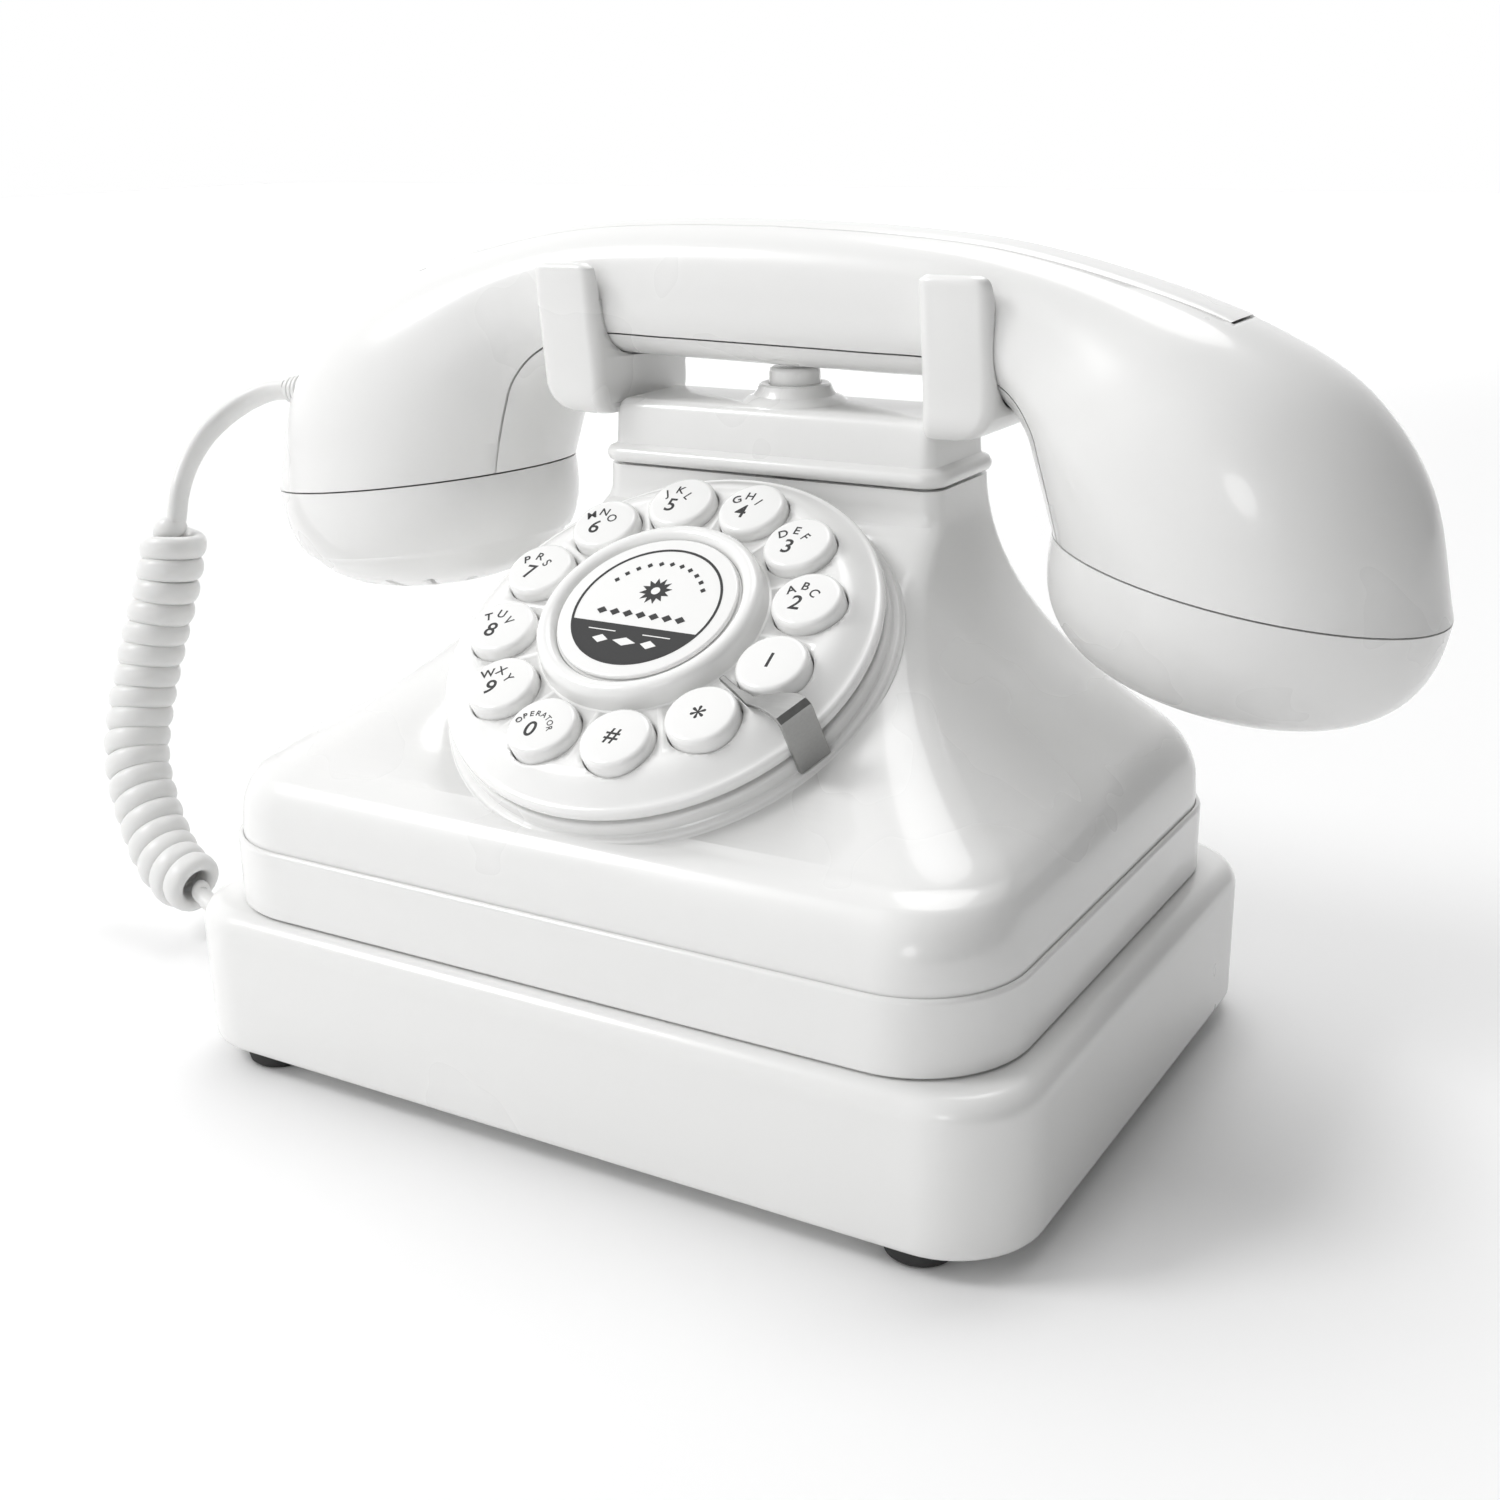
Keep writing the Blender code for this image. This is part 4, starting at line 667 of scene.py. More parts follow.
class PHONE_OT_tray(bpy.types.Operator):
    """Base tray with its rubber feet and case screws"""
    bl_idname = "phone.tray"
    bl_label = "Base tray"

    def execute(self, context):
        self.tray()
        self.feet()
        self.screws()
        return {"FINISHED"}

    def tray(self):
        half = TRAY_WIDTH / 2
        edge = [(half - 1.6 * MM, 0), (half - 0.9 * MM, 0.12 * MM), (half - 0.35 * MM, 0.5 * MM)]
        edge += [(half - 0.06 * MM, 1.1 * MM), (half, 1.7 * MM)]
        edge += fillet(half, TRAY_HEIGHT, sizes().tray_edge, 12)
        levels = [(z, half - x) for x, z in edge]
        mouth = 9.6 * MM
        levels += [(TRAY_HEIGHT, mouth), (TRAY_HEIGHT - 3.2 * MM, mouth)]
        levels += [(TRAY_HEIGHT - 3.6 * MM, WALL), (WALL, WALL)]
        tray = shape("base_tray_skin", lambda bm: loft(bm, stack(
            half, -TRAY_DEPTH / 2, TRAY_DEPTH / 2, levels, TRAY_CORNER)), case_material())
        self.window(tray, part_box("line_jack"), Vector((0, 4 * MM, 0)))
        self.window(tray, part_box("cord_jack"), Vector((-4 * MM, 0, 0)))
        settle(tray, "base", "white_abs", "base_tray")

    def window(self, tray, socket, outward):
        """Opens the wall in front of a socket."""
        room = Vector((GAP, GAP, GAP))
        low, high = Vector(socket[0]) - room, Vector(socket[1]) + room
        low, high = Vector(map(min, low, low + outward)), Vector(map(max, high, high + outward))
        boolean(tray, shape("window", lambda bm: box(bm, low, high), None, Matrix.Identity(4)))

    def feet(self):
        ground = -FOOT_HEIGHT
        profile = [(0, ground), (3.6 * MM, ground), (4 * MM, ground + 0.15 * MM)]
        profile += [(5.1 * MM, ground + 0.15 * MM), (5.6 * MM, ground + 0.6 * MM), (FOOT_RADIUS, -2 * MM)]
        profile += [(FOOT_RADIUS + 0.3 * MM, -GAP), (0, -GAP)]
        feet = copies("rubber_feet", four(*FOOT_PLACE), lambda bm: turned(bm, profile, 48), rubber_material())
        nodes = [f"foot_{a}_{b}" for a in ("front", "back") for b in ("left", "right")]
        settle(feet, "base", "black_rubber", *nodes)

    def screws(self):
        """Pan-head screws, each with a round drive recess."""
        head = -GAP - 1.3 * MM
        pan = [(0, head + 0.5 * MM), (1.1 * MM, head + 0.5 * MM), (1.3 * MM, head), (2.3 * MM, head)]
        pan += [(3 * MM, head + 0.3 * MM), (3.2 * MM, head + 0.8 * MM), (3.2 * MM, -GAP)]
        pan += [(1.4 * MM, -GAP), (1.4 * MM, 12 * MM), (0, 12 * MM)]
        screws = copies("case_screws", four(*SCREW_PLACE), lambda bm: turned(bm, pan, 32), zinc_material())
        settle(screws, "base", "steel", "base_screw_1", "base_screw_2", "base_screw_3", "base_screw_4")


class PHONE_OT_housing(bpy.types.Operator):
    """Upper housing with its sloping front and waisted tower"""
    bl_idname = "phone.housing"
    bl_label = "Upper housing"

    def execute(self, context):
        self.housing()
        self.bezel()
        return {"FINISHED"}

    def housing(self):
        """Skin out, over the tower's mouth and back down inside, bored through where the dial sits."""
        mouth_x, mouth_y = TOWER_WIDTH / 2 - 5.5 * MM, TOWER_DEPTH / 2 - 3.6 * MM
        levels = [(TOWER_TOP, 0), (TOWER_TOP - WALL, 0)]
        mouth = stack(mouth_x, TOWER_Y - mouth_y, TOWER_Y + mouth_y, levels, 1.5 * MM)
        rings = housing_rings(0) + mouth + housing_rings(WALL)[::-1]
        housing = shape("upper_housing_skin", lambda bm: loft(bm, rings, True), case_material(), BASE, 28)
        boolean(housing, shape("dial_bore", lambda bm: turned(bm, [
            (0, -24 * MM), (SEAT_RADIUS, -24 * MM), (SEAT_RADIUS, 5 * MM), (0, 5 * MM)]), None, DIAL))
        settle(housing, "base", "white_abs", "upper_housing")

    def bezel(self):
        """Two-stepped ring round the dial."""
        profile = [(SEAT_RADIUS, -18 * MM), (BEZEL_RADIUS, -18 * MM)]
        profile += [(BEZEL_RADIUS + 0.5 * MM, -SLOPE_DROP - 0.1 * MM)]
        profile += [(BEZEL_RADIUS + 0.1 * MM, -SLOPE_DROP + 0.15 * MM)]
        profile += fillet(BEZEL_RADIUS, BEZEL_TOP, 0.5 * MM)
        profile += [(BEZEL_STEP_RADIUS + 0.25 * MM, BEZEL_TOP + 0.02 * MM)]
        profile += [(BEZEL_STEP_RADIUS, BEZEL_TOP + 0.25 * MM)]
        profile += fillet(BEZEL_STEP_RADIUS, BEZEL_STEP_TOP, 0.6 * MM) + [(SEAT_RADIUS, BEZEL_STEP_TOP)]
        bezel = shape("dial_bezel", lambda bm: turned(bm, profile, 128), case_material(), DIAL)
        settle(bezel, "base", "white_abs")


# ---------------------------------------------------------------- handset shape

def handset_stations():
    """Points from the middle to the right cap joint: outer x, z, inner x, z, half-depth, squareness."""
    crest, run = GRIP_THICKNESS, CUP_SPACING
    reach, rise = CUP_HALF_WIDTH * math.cos(CUP_TILT), CUP_HALF_WIDTH * math.sin(CUP_TILT)
    outer_x, outer_z = CUP_SPACING + reach, -CUP_DROP - rise
    inner_x, inner_z = CUP_SPACING - reach, -CUP_DROP + rise
    wide, more = GRIP_HALF_DEPTH, CUP_HALF_DEPTH - GRIP_HALF_DEPTH
    return [
        (0, crest, 0, 0, wide, 2.6),
        (0.25 * run, crest - 0.5 * MM, 0.22 * run, 0, wide, 2.6),
        (0.50 * run, crest - 2.2 * MM, 0.41 * run, -0.1 * MM, wide + 0.3 * MM, 2.5),
        (0.76 * run, crest - 6.8 * MM, 0.507 * run, -2.7 * MM, wide + 0.2 * more, 2.35),
        (outer_x - 32.5 * MM, crest - 13.2 * MM, inner_x - 5.2 * MM, -7 * MM, wide + 0.55 * more, 2.2),
        (outer_x - 16 * MM, crest - 22.6 * MM, inner_x - 3.3 * MM, -12 * MM, wide + 0.83 * more, 2.1),
        (outer_x - 5.2 * MM, crest - 37 * MM, inner_x - 1.7 * MM, -17 * MM, wide + 0.96 * more, 2.05),
        (outer_x, outer_z, inner_x, inner_z, CUP_HALF_DEPTH, 2.0),
    ]


def handset_section(share):
    """Middle, direction from underside to crest, half-height, half-depth and squareness; share is -1 to 1."""
    outer_x, outer_z, inner_x, inner_z, half_depth, power = smooth_between(handset_stations(), abs(share))
    side = 1 if share >= 0 else -1
    outer, inner = Vector((side * outer_x, 0, outer_z)), Vector((side * inner_x, 0, inner_z))
    return (outer + inner) / 2, (outer - inner).normalized(), (outer - inner).length / 2, half_depth, power


def section_point(section, grow, angle):
    """Point of a section's outline; the angle runs from +Y through the crest."""
    middle, across, half, half_depth, power = section
    cos, sin = math.cos(angle), math.sin(angle)
    place = middle + across * (half + grow) * math.copysign(abs(sin) ** (2 / power), sin)
    return (place.x, (half_depth + grow) * math.copysign(abs(cos) ** (2 / power), cos), place.z)


def parting_angle(section, grow, depth):
    """Angle at which a section's outline stands this far above the underside."""
    _, _, half, _, power = section
    level = (depth - half) / (half + grow)
    return math.asin(math.copysign(abs(level) ** (power / 2), level))


def handset_skin(bm, grow, points, stations):
    rings = []
    for i in range(-stations, stations + 1):
        section = handset_section(i / stations)
        rings.append([section_point(section, grow, 2 * math.pi * j / points) for j in range(points)])
    loft(bm, rings)


def half_shell(bm, upper, steps, stations):
    """One half of the handset's case, open along the parting line and at both cap joints."""
    depth = LOWER_SHELL + (GAP / 2 if upper else -GAP / 2)
    rings = []
    for i in range(-stations, stations + 1):
        section = handset_section(i / stations)
        ring = []
        for grow in (0, -SHELL_WALL):
            start = parting_angle(section, grow, depth)
            end = math.pi - start
            if not upper:
                start, end = end, start + 2 * math.pi
            if grow:
                start, end = end, start
            angles = [start + (end - start) * j / steps for j in range(steps + 1)]
            ring += [section_point(section, grow, angle) for angle in angles]
        rings.append(ring)
    loft(bm, rings)


def crest_strip(bm, grow, depth, half_width, reach, stations):
    """A strip that follows the crest's own crown, with rounded edges."""
    rings = []
    for i in range(-stations, stations + 1):
        middle, across, half, half_depth, power = handset_section(reach * i / stations)
        ring = []
        for k in range(13):
            y = half_width * (k / 6 - 1)
            edge = 0.35 * MM if k in (0, 12) else 0
            crown = (1 - (abs(y) / half_depth) ** power) ** (1 / power)
            place = middle + across * (half * crown + grow - edge)
            ring.append((place.x, y, place.z))
        for y in (half_width, -half_width):
            place = middle + across * (half - depth)
            ring.append((place.x, y, place.z))
        rings.append(ring)
    loft(bm, rings)


def cap_rings(side, grow, points, levels, steps=()):
    """Rings of a cap from its joint down to its dome; steps are (share, set back) pairs."""
    centre = Vector((side * CUP_SPACING, 0, -CUP_DROP))
    across = Vector((side * math.cos(CUP_TILT), 0, -math.sin(CUP_TILT)))
    down = Vector((-side * math.sin(CUP_TILT), 0, -math.cos(CUP_TILT)))
    rings = []
    for level in range(levels + 1):
        turn = math.radians(87 * level / levels)
        width, share = math.cos(turn) ** (2 / CAP_SQUARENESS), math.sin(turn) ** (2 / CAP_SQUARENESS)
        back = sum(set_back for start, set_back in steps if share > start)
        ring = []
        for i in range(points):
            angle = 2 * math.pi * i / points
            place = centre + down * (GAP + share * (CAP_DEPTH + grow))
            place = place + across * ((CUP_HALF_WIDTH + grow) * width - back) * math.cos(angle)
            ring.append((place.x, ((CUP_HALF_DEPTH + grow) * width - back) * math.sin(angle), place.z))
        rings.append(ring)
    return rings


class PHONE_OT_handset(bpy.types.Operator):
    """Handset: upper and lower shell, top strip and both caps"""
    bl_idname = "phone.handset"
    bl_label = "Handset"

    def execute(self, context):
        self.shells()
        for name, side, openings, cutter, steps in (
            ("mouthpiece_cap", -1, on_circle(13 * MM, 12), slot_cutter, ((0.62, 0.7 * MM),)),
            ("earpiece_cap", 1, [(0, 0), *on_circle(5 * MM, 6), *on_circle(10 * MM, 12)], hole_cutter, ()),
        ):
            self.cap(name, side, openings, cutter, steps)
        return {"FINISHED"}

    def shells(self):
        case = case_material()
        upper = shape("handset_upper_skin", lambda bm: half_shell(bm, True, 44, 56), case, HANDSET, 40)
        lower = shape("handset_lower_skin", lambda bm: half_shell(bm, False, 18, 56), case, HANDSET, 40)
        strip = shape("handset_top_strip", lambda bm: crest_strip(
            bm, 0.3 * MM, 1.4 * MM, SPINE_HALF_WIDTH, SPINE_SHARE, 44), case, HANDSET, 40)
        boolean(upper, shape("strip_groove", lambda bm: crest_strip(
            bm, 3 * MM, 1.7 * MM, SPINE_HALF_WIDTH + 0.25 * MM, SPINE_SHARE + 0.004, 43), None, HANDSET))
        settle(upper, "handset", "white_abs", "handset_shell")
        settle(lower, "handset", "white_abs", "handset_lower_shell")
        settle(strip, "handset", "white_abs", "handset_spine")

    def cap(self, name, side, openings, cutter, steps):
        """A hollow cap with its sound openings."""
        case = case_material()
        rings = cap_rings(side, 0, 96, 44, steps)[::-1] + cap_rings(side, -SHELL_WALL, 96, 20)
        cap = shape(name + "_skin", lambda bm: loft(bm, rings), case, HANDSET, 32)
        under = HANDSET @ Matrix.Translation((side * (CUP_SPACING - 3 * MM), 0, -CUP_DROP - CAP_DEPTH))
        boolean(cap, copies(name + "_openings", openings, cutter, case, under))
        settle(cap, "handset", "white_abs", name)


def on_circle(radius, count):
    angles = [2 * math.pi * k / count for k in range(count)]
    return [(radius * math.cos(angle), radius * math.sin(angle)) for angle in angles]


def slot_cutter(bm):
    """A radial sound slot with round ends."""
    outline = rounded_rectangle(-4.2 * MM, 4.2 * MM, -0.8 * MM, 0.8 * MM, 0.79 * MM, 5)
    loft(bm, [[(x, y, z) for x, y in outline] for z in (-8 * MM, 7 * MM)])


def hole_cutter(bm):
    turned(bm, [(0, -8 * MM), (1.1 * MM, -8 * MM), (1.1 * MM, 7 * MM), (0, 7 * MM)], 20)


# ---------------------------------------------------------------- cradle

def yoke(bm, side):
    """One end of the cradle before its saddle is cut: a leaning block with a rounded lower end."""
    width = PRONG_OUTER_X - PRONG_INNER_X
    top, low = PRONG_TOP, BLOCK_TOP - 2.6 * MM
    levels = [
        (low, 0.45 * width, -2.6 * MM), (low + 0.5 * MM, 0.68 * width, -1.2 * MM),
        (low + 1.8 * MM, 0.85 * width, -0.4 * MM), (low + 4 * MM, 0.96 * width, 0), (low + 7 * MM, width, 0),
        (low + 14 * MM, width, 0.35 * PRONG_LEAN), (top - 3.4 * MM, width - 0.1 * MM, 0.85 * PRONG_LEAN),
        (top - 0.9 * MM, width - 0.5 * MM, 0.95 * PRONG_LEAN),
        (top, width - 1.4 * MM, 0.95 * PRONG_LEAN - 0.8 * MM),
    ]
    rings = []
    for i in range(4 * (len(levels) - 1) + 1):
        z, reach, out = smooth_between(levels, i / (4 * (len(levels) - 1)))
        x_low = PRONG_INNER_X + 0.9 * MM * max(0.0, 1 - (top - z) / (0.9 * MM))
        half = PRONG_DEPTH + out
        outline = rounded_rectangle(x_low, PRONG_INNER_X + reach, -half, half, 2.2 * MM, 8)
        rings.append([(side * x, TOWER_Y + y, z) for x, y in (outline if side > 0 else outline[::-1])])
    loft(bm, rings)


def way_out(bm):
    """The straight way up out of the saddles, wider at the prongs' tops."""
    start = GRIP_UNDERSIDE + 0.46 * GRIP_THICKNESS
    reach, half = PRONG_OUTER_X + 4 * MM, GRIP_HALF_DEPTH + 1.0 * MM
    rings = []
    for z, wide in [(start, half), (PRONG_TOP - 5 * MM, half), (PRONG_TOP + 0.4 * MM, half + 1.6 * MM),
                    (PRONG_TOP + 5 * MM, half + 1.6 * MM)]:
        rings.append([(-reach, TOWER_Y - wide, z), (reach, TOWER_Y - wide, z), (reach, TOWER_Y + wide, z),
                      (-reach, TOWER_Y + wide, z)])
    loft(bm, rings)


class PHONE_OT_cradle(bpy.types.Operator):
    """Cradle with its bead, four prongs and hook boss, and the hook plunger"""
    bl_idname = "phone.cradle"
    bl_label = "Cradle"

    def execute(self, context):
        foot = TOWER_TOP + GAP
        half_x, half_y = TOWER_WIDTH / 2 - 1 * MM, TOWER_DEPTH / 2 - 0.7 * MM
        rings = stack(half_x, TOWER_Y - half_y, TOWER_Y + half_y, block_levels(foot), 3 * MM, 8)
        cradle = shape("cradle_skin", lambda bm: loft(bm, rings), case_material())
        boss_mm = [(0, -2), (9.8, -2), (9.4, 0.1), (8.6, 0.8), (7.4, 1.3), (6.8, 2.2), (6.5, 3.0)]
        boss_mm += [(6.1, 3.3), (0, 3.3)]
        boss = [(radius * MM, BLOCK_TOP + rise * MM) for radius, rise in boss_mm]
        boolean(cradle, shape("boss", lambda bm: turned(bm, boss, 64, (0, TOWER_Y))), "UNION")
        for side in (-1, 1):
            boolean(cradle, shape("yoke", lambda bm: yoke(bm, side)), "UNION")
        boolean(cradle, shape("saddle", lambda bm: handset_skin(bm, SADDLE_CLEARANCE, 56, 31), None, HANDSET))
        boolean(cradle, shape("lift_way", way_out))
        room = stack(half_x - WALL, TOWER_Y - half_y + WALL, TOWER_Y + half_y - WALL,
                     [(foot - 1 * MM, 0), (BLOCK_TOP - WALL - 0.6 * MM, 0)], 1.5 * MM, 6)
        boolean(cradle, shape("hollow", lambda bm: loft(bm, room)))
        bore = HOOK_RADIUS + GAP
        boolean(cradle, shape("bore", lambda bm: turned(bm, [
            (0, BLOCK_TOP - 8 * MM), (bore, BLOCK_TOP - 8 * MM), (bore, BLOCK_TOP + 8 * MM),
            (0, BLOCK_TOP + 8 * MM)], 48, (0, TOWER_Y))))
        settle(cradle, "base", "white_abs", "cradle")
        self.plunger()
        return {"FINISHED"}

    def plunger(self):
        """The hook: a flanged pin that the handset holds down."""
        low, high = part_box("hook_plunger")
        foot, tip = low[2] - FOOT_HEIGHT, high[2] - FOOT_HEIGHT
        flange = BLOCK_TOP - WALL - 4.9 * MM
        profile = [(0, foot), (1.8 * MM, foot), (1.8 * MM, flange - 2 * MM)]
        profile += [(HOOK_RADIUS + 1.8 * MM, flange - 2 * MM), (HOOK_RADIUS + 1.8 * MM, flange)]
        profile += [(HOOK_RADIUS, flange)] + fillet(HOOK_RADIUS, tip, 0.9 * MM) + [(0, tip)]
        plunger = shape("hook_plunger_skin", lambda bm: turned(bm, profile, 64, (0, TOWER_Y)), key_material())
        settle(plunger, "hook", "white_abs", "hook_plunger")


def block_levels(foot):
    """Heights and insets of the cradle's block: a round bead, then straight sides to a rounded top."""
    levels = [(foot, 0)]
    for i in range(11):
        angle = math.radians(-80 + 160 * i / 10)
        rise = foot + BEAD_RADIUS * (1 + math.sin(angle)) + 0.1 * MM
        levels.append((rise, -0.4 * MM - BEAD_RADIUS * math.cos(angle)))
    levels += [(foot + 2 * BEAD_RADIUS + 0.5 * MM, 0), (BLOCK_TOP - 3 * MM, 0.3 * MM)]
    for degrees in range(0, 91, 15):
        sin, cos = math.sin(math.radians(degrees)), math.cos(math.radians(degrees))
        levels.append((BLOCK_TOP - 2.4 * MM * (1 - sin), 0.4 * MM + 2.2 * MM * (1 - cos)))
    return levels


# ---------------------------------------------------------------- dial

def key_places():
    for i, name in enumerate(KEY_LEGENDS):
        angle = math.radians(FIRST_KEY_ANGLE + 30 * i)
        yield name, KEY_CIRCLE * math.cos(angle), KEY_CIRCLE * math.sin(angle)


def flat_shape(bm, points, low, high):
    loft(bm, [[(x, y, z) for x, y in points] for z in (low, high)])


def lozenge(x, y, wide, tall):
    return [(x - wide, y), (x, y - tall), (x + wide, y), (x, y + tall)]


def ink_print(bm):
    """The badge's dark ornament: a ring, a segment, a rosette, an arc and a row of lozenges."""
    low, high = BADGE_FACE + 0.01 * MM, BADGE_FACE + PRINT_HEIGHT
    turned(bm, [(12.55 * MM, low), (13 * MM, low), (13 * MM, high), (12.55 * MM, high)], 128)
    chord = math.asin(4.6 / 12.6)
    arc = [math.pi + chord + (math.pi - 2 * chord) * k / 40 for k in range(41)]
    flat_shape(bm, [(12.6 * MM * math.cos(a), 12.6 * MM * math.sin(a)) for a in arc], low, high)
    petals = [(2.9 if k % 2 else 1.75) for k in range(24)]
    flat_shape(bm, [(r * MM * math.cos(k * math.pi / 12), 3.4 * MM + r * MM * math.sin(k * math.pi / 12))
                    for k, r in enumerate(petals)], low, high)
    for k in range(11):
        angle = math.radians(150 - 12 * k)
        x, y = 9.6 * MM * math.cos(angle), 9.6 * MM * math.sin(angle)
        flat_shape(bm, lozenge(x, y, 0.55 * MM, 0.55 * MM), low, high)
    for k in range(7):
        flat_shape(bm, lozenge((k - 3) * 2.5 * MM, -2.1 * MM, 1.0 * MM, 0.8 * MM), low, high)


def white_print(bm):
    """White marks over the dark ones: lozenges and bars on the segment, a dot on the rosette."""
    low, high = BADGE_FACE + PRINT_HEIGHT + 0.005 * MM, BADGE_FACE + PRINT_HEIGHT + 0.03 * MM
    for x, wide in ((-4.6, 1.5), (0, 2.2), (4.6, 1.5)):
        flat_shape(bm, lozenge(x * MM, -8.1 * MM, wide * MM, 0.9 * MM), low, high)
    turned(bm, [(0, low), (0.8 * MM, low), (0.8 * MM, high), (0, high)], 24, (0, 3.4 * MM))
    bar = ((2.6, -6.3), (7.8, -6.3), (7.8, -6.1), (2.6, -6.1))
    for side in (-1, 1):
        flat_shape(bm, [(side * x * MM, y * MM) for x, y in bar][::side], low, high)


class PHONE_OT_dial(bpy.types.Operator):
    """Round dial plate, its raised hub, the printed badge and the steel finger stop"""
    bl_idname = "phone.dial"
    bl_label = "Dial"

    def execute(self, context):
        self.plate()
        self.hub()
        self.badge()
        self.finger_stop()
        return {"FINISHED"}

    def plate(self):
        """Plate with a crowned face, cut through for every key."""
        rim = PLATE_FACE - 0.15 * MM
        profile = [(0, PLATE_BACK), (PLATE_RADIUS - 0.8 * MM, PLATE_BACK)]
        profile += [(PLATE_RADIUS - 0.2 * MM, PLATE_BACK + 0.25 * MM), (PLATE_RADIUS, PLATE_BACK + 0.8 * MM)]
        profile += fillet(PLATE_RADIUS, rim, 1.0 * MM, 8)[:-1]
        for k in range(13):
            share = k / 12
            height = math.sin(share * math.pi / 2) ** 1.15
            reach = PLATE_RADIUS - 1.0 * MM - 6 * MM * share
            profile.append((reach, rim + (PLATE_CROWN + 0.15 * MM) * height))
        profile.append((0, PLATE_CREST))
        plate = shape("dial_plate_skin", lambda bm: turned(bm, profile, 144), key_material(), DIAL)
        hole = KEY_RADIUS + GAP
        boolean(plate, copies("key_holes", [(x, y) for _, x, y in key_places()], lambda bm: turned(bm, [
            (0, PLATE_BACK - 2 * MM), (hole, PLATE_BACK - 2 * MM), (hole, 0), (0, 0)], 48),
            key_material(), DIAL))
        settle(plate, "base", "key_abs", "dial_plate")

    def hub(self):
        """Raised ring with a round top that frames the badge."""
        profile = [(0, PLATE_CREST + 0.05 * MM), (HUB_RADIUS + 0.5 * MM, PLATE_CREST + 0.02 * MM)]
        profile += [(HUB_RADIUS + 0.15 * MM, PLATE_CREST + 0.2 * MM), (HUB_RADIUS, PLATE_CREST + 0.8 * MM)]
        crown = (HUB_RADIUS + BADGE_RADIUS) / 2
        for k in range(13):
            angle = math.radians(15 * k)
            reach = crown + (HUB_RADIUS - crown - 0.2 * MM) * math.cos(angle)
            profile.append((reach, -1.9 * MM + 1.85 * MM * math.sin(angle)))
        profile += [(BADGE_RADIUS + 0.1 * MM, -1.4 * MM), (0, -1.4 * MM)]
        hub = shape("dial_hub_skin", lambda bm: turned(bm, profile, 128), key_material(), DIAL)
        settle(hub, "base", "key_abs", "dial_hub")

    def badge(self):
        gloss = key_material()
        radius = BADGE_RADIUS - 0.2 * MM
        profile = [(0, -1.1 * MM), (radius, -1.1 * MM)]
        profile += fillet(radius, BADGE_FACE, 0.4 * MM) + [(0, BADGE_FACE)]
        badge = shape("dial_badge_skin", lambda bm: turned(bm, profile, 128), gloss, DIAL)
        settle(badge, "base", "badge_print", "dial_badge")
        settle(shape("dial_badge_print", ink_print, ink_material(), DIAL, 20), "base", "black_rubber")
        settle(shape("dial_badge_white_print", white_print, gloss, DIAL, 20), "base", "badge_print")

    def finger_stop(self):
        """Steel strip: a thin tongue between two keys that rises to a tab bent down over the plate's edge."""
        thick = 0.9 * MM
        tab = (BEZEL_STEP_RADIUS + GAP) / MM
        # In millimetres: distance from the axis, right and left edge, underside, and how flat it lies
        stations = [
            (21.3, -0.5, 0.5, -3.4, 1), (26, -0.5, 0.5, -3.3, 1), (29.5, -0.8, 1.0, -3.0, 1),
            (33.6, -0.5, 3.6, -1.4, 1), (36.4, -0.3, 5.2, -0.95, 1), (tab - 0.5, -0.3, 5.5, -0.95, 0.97),
            (tab - 0.08, -0.3, 5.6, -1.3, 0.5), (tab, -0.3, 5.6, -2.0, 0),
            (tab, -0.3, 5.6, BEZEL_TOP / MM + 0.3, 0),
        ]

        def strip(bm):
            rings = []
            for x, right, left, z, flat in stations:
                lift = Vector((math.sqrt(1 - flat * flat), 0, flat)) * thick
                x, right, left, z = x * MM, right * MM, left * MM, z * MM
                top_x, top_z = x + lift.x, z + lift.z
                rings.append([(x, right, z), (x, left, z), (top_x, left, top_z), (top_x, right, top_z)])
            loft(bm, rings)

        place = DIAL @ Matrix.Rotation(STOP_ANGLE, 4, "Z")
        stop = shape("finger_stop_skin", strip, steel_material(), place)
        bevel = stop.modifiers.new("edge", "BEVEL")
        bevel.width = 0.15 * MM
        bevel.segments = 2
        bevel.limit_method = "ANGLE"
        bevel.angle_limit = math.radians(50)
        bpy.context.view_layer.update()
        bake(stop)
        settle(stop, "base", "brushed_steel", "finger_stop")


def lettering(name, glyphs, place):
    """One mesh of flat type; glyphs are (text, size, x, y, turn)."""
    bm = bmesh.new()
    for text, size, x, y, turn in glyphs:
        curve = bpy.data.curves.new("glyph", "FONT")
        curve.body = text
        curve.size = size
        curve.align_x = "CENTER"
        curve.align_y = "CENTER"
        curve.extrude = 0.025 * MM
        curve.offset = 0.013 * size
        curve.resolution_u = 6
        glyph = bpy.data.objects.new("glyph", curve)
        bpy.context.scene.collection.objects.link(glyph)
        bpy.context.view_layer.update()
        graph = bpy.context.evaluated_depsgraph_get()
        mesh = bpy.data.meshes.new_from_object(glyph.evaluated_get(graph), depsgraph=graph)
        mesh.transform(Matrix.Translation((x, y, 0)) @ Matrix.Rotation(turn, 4, "Z"))
        bm.from_mesh(mesh)
        bpy.data.meshes.remove(mesh)
        bpy.data.objects.remove(glyph, do_unlink=True)
    bmesh.ops.remove_doubles(bm, verts=bm.verts, dist=0.001 * MM)
    bm.transform(place)
    return mesh_object(name, bm, ink_material(), 20)


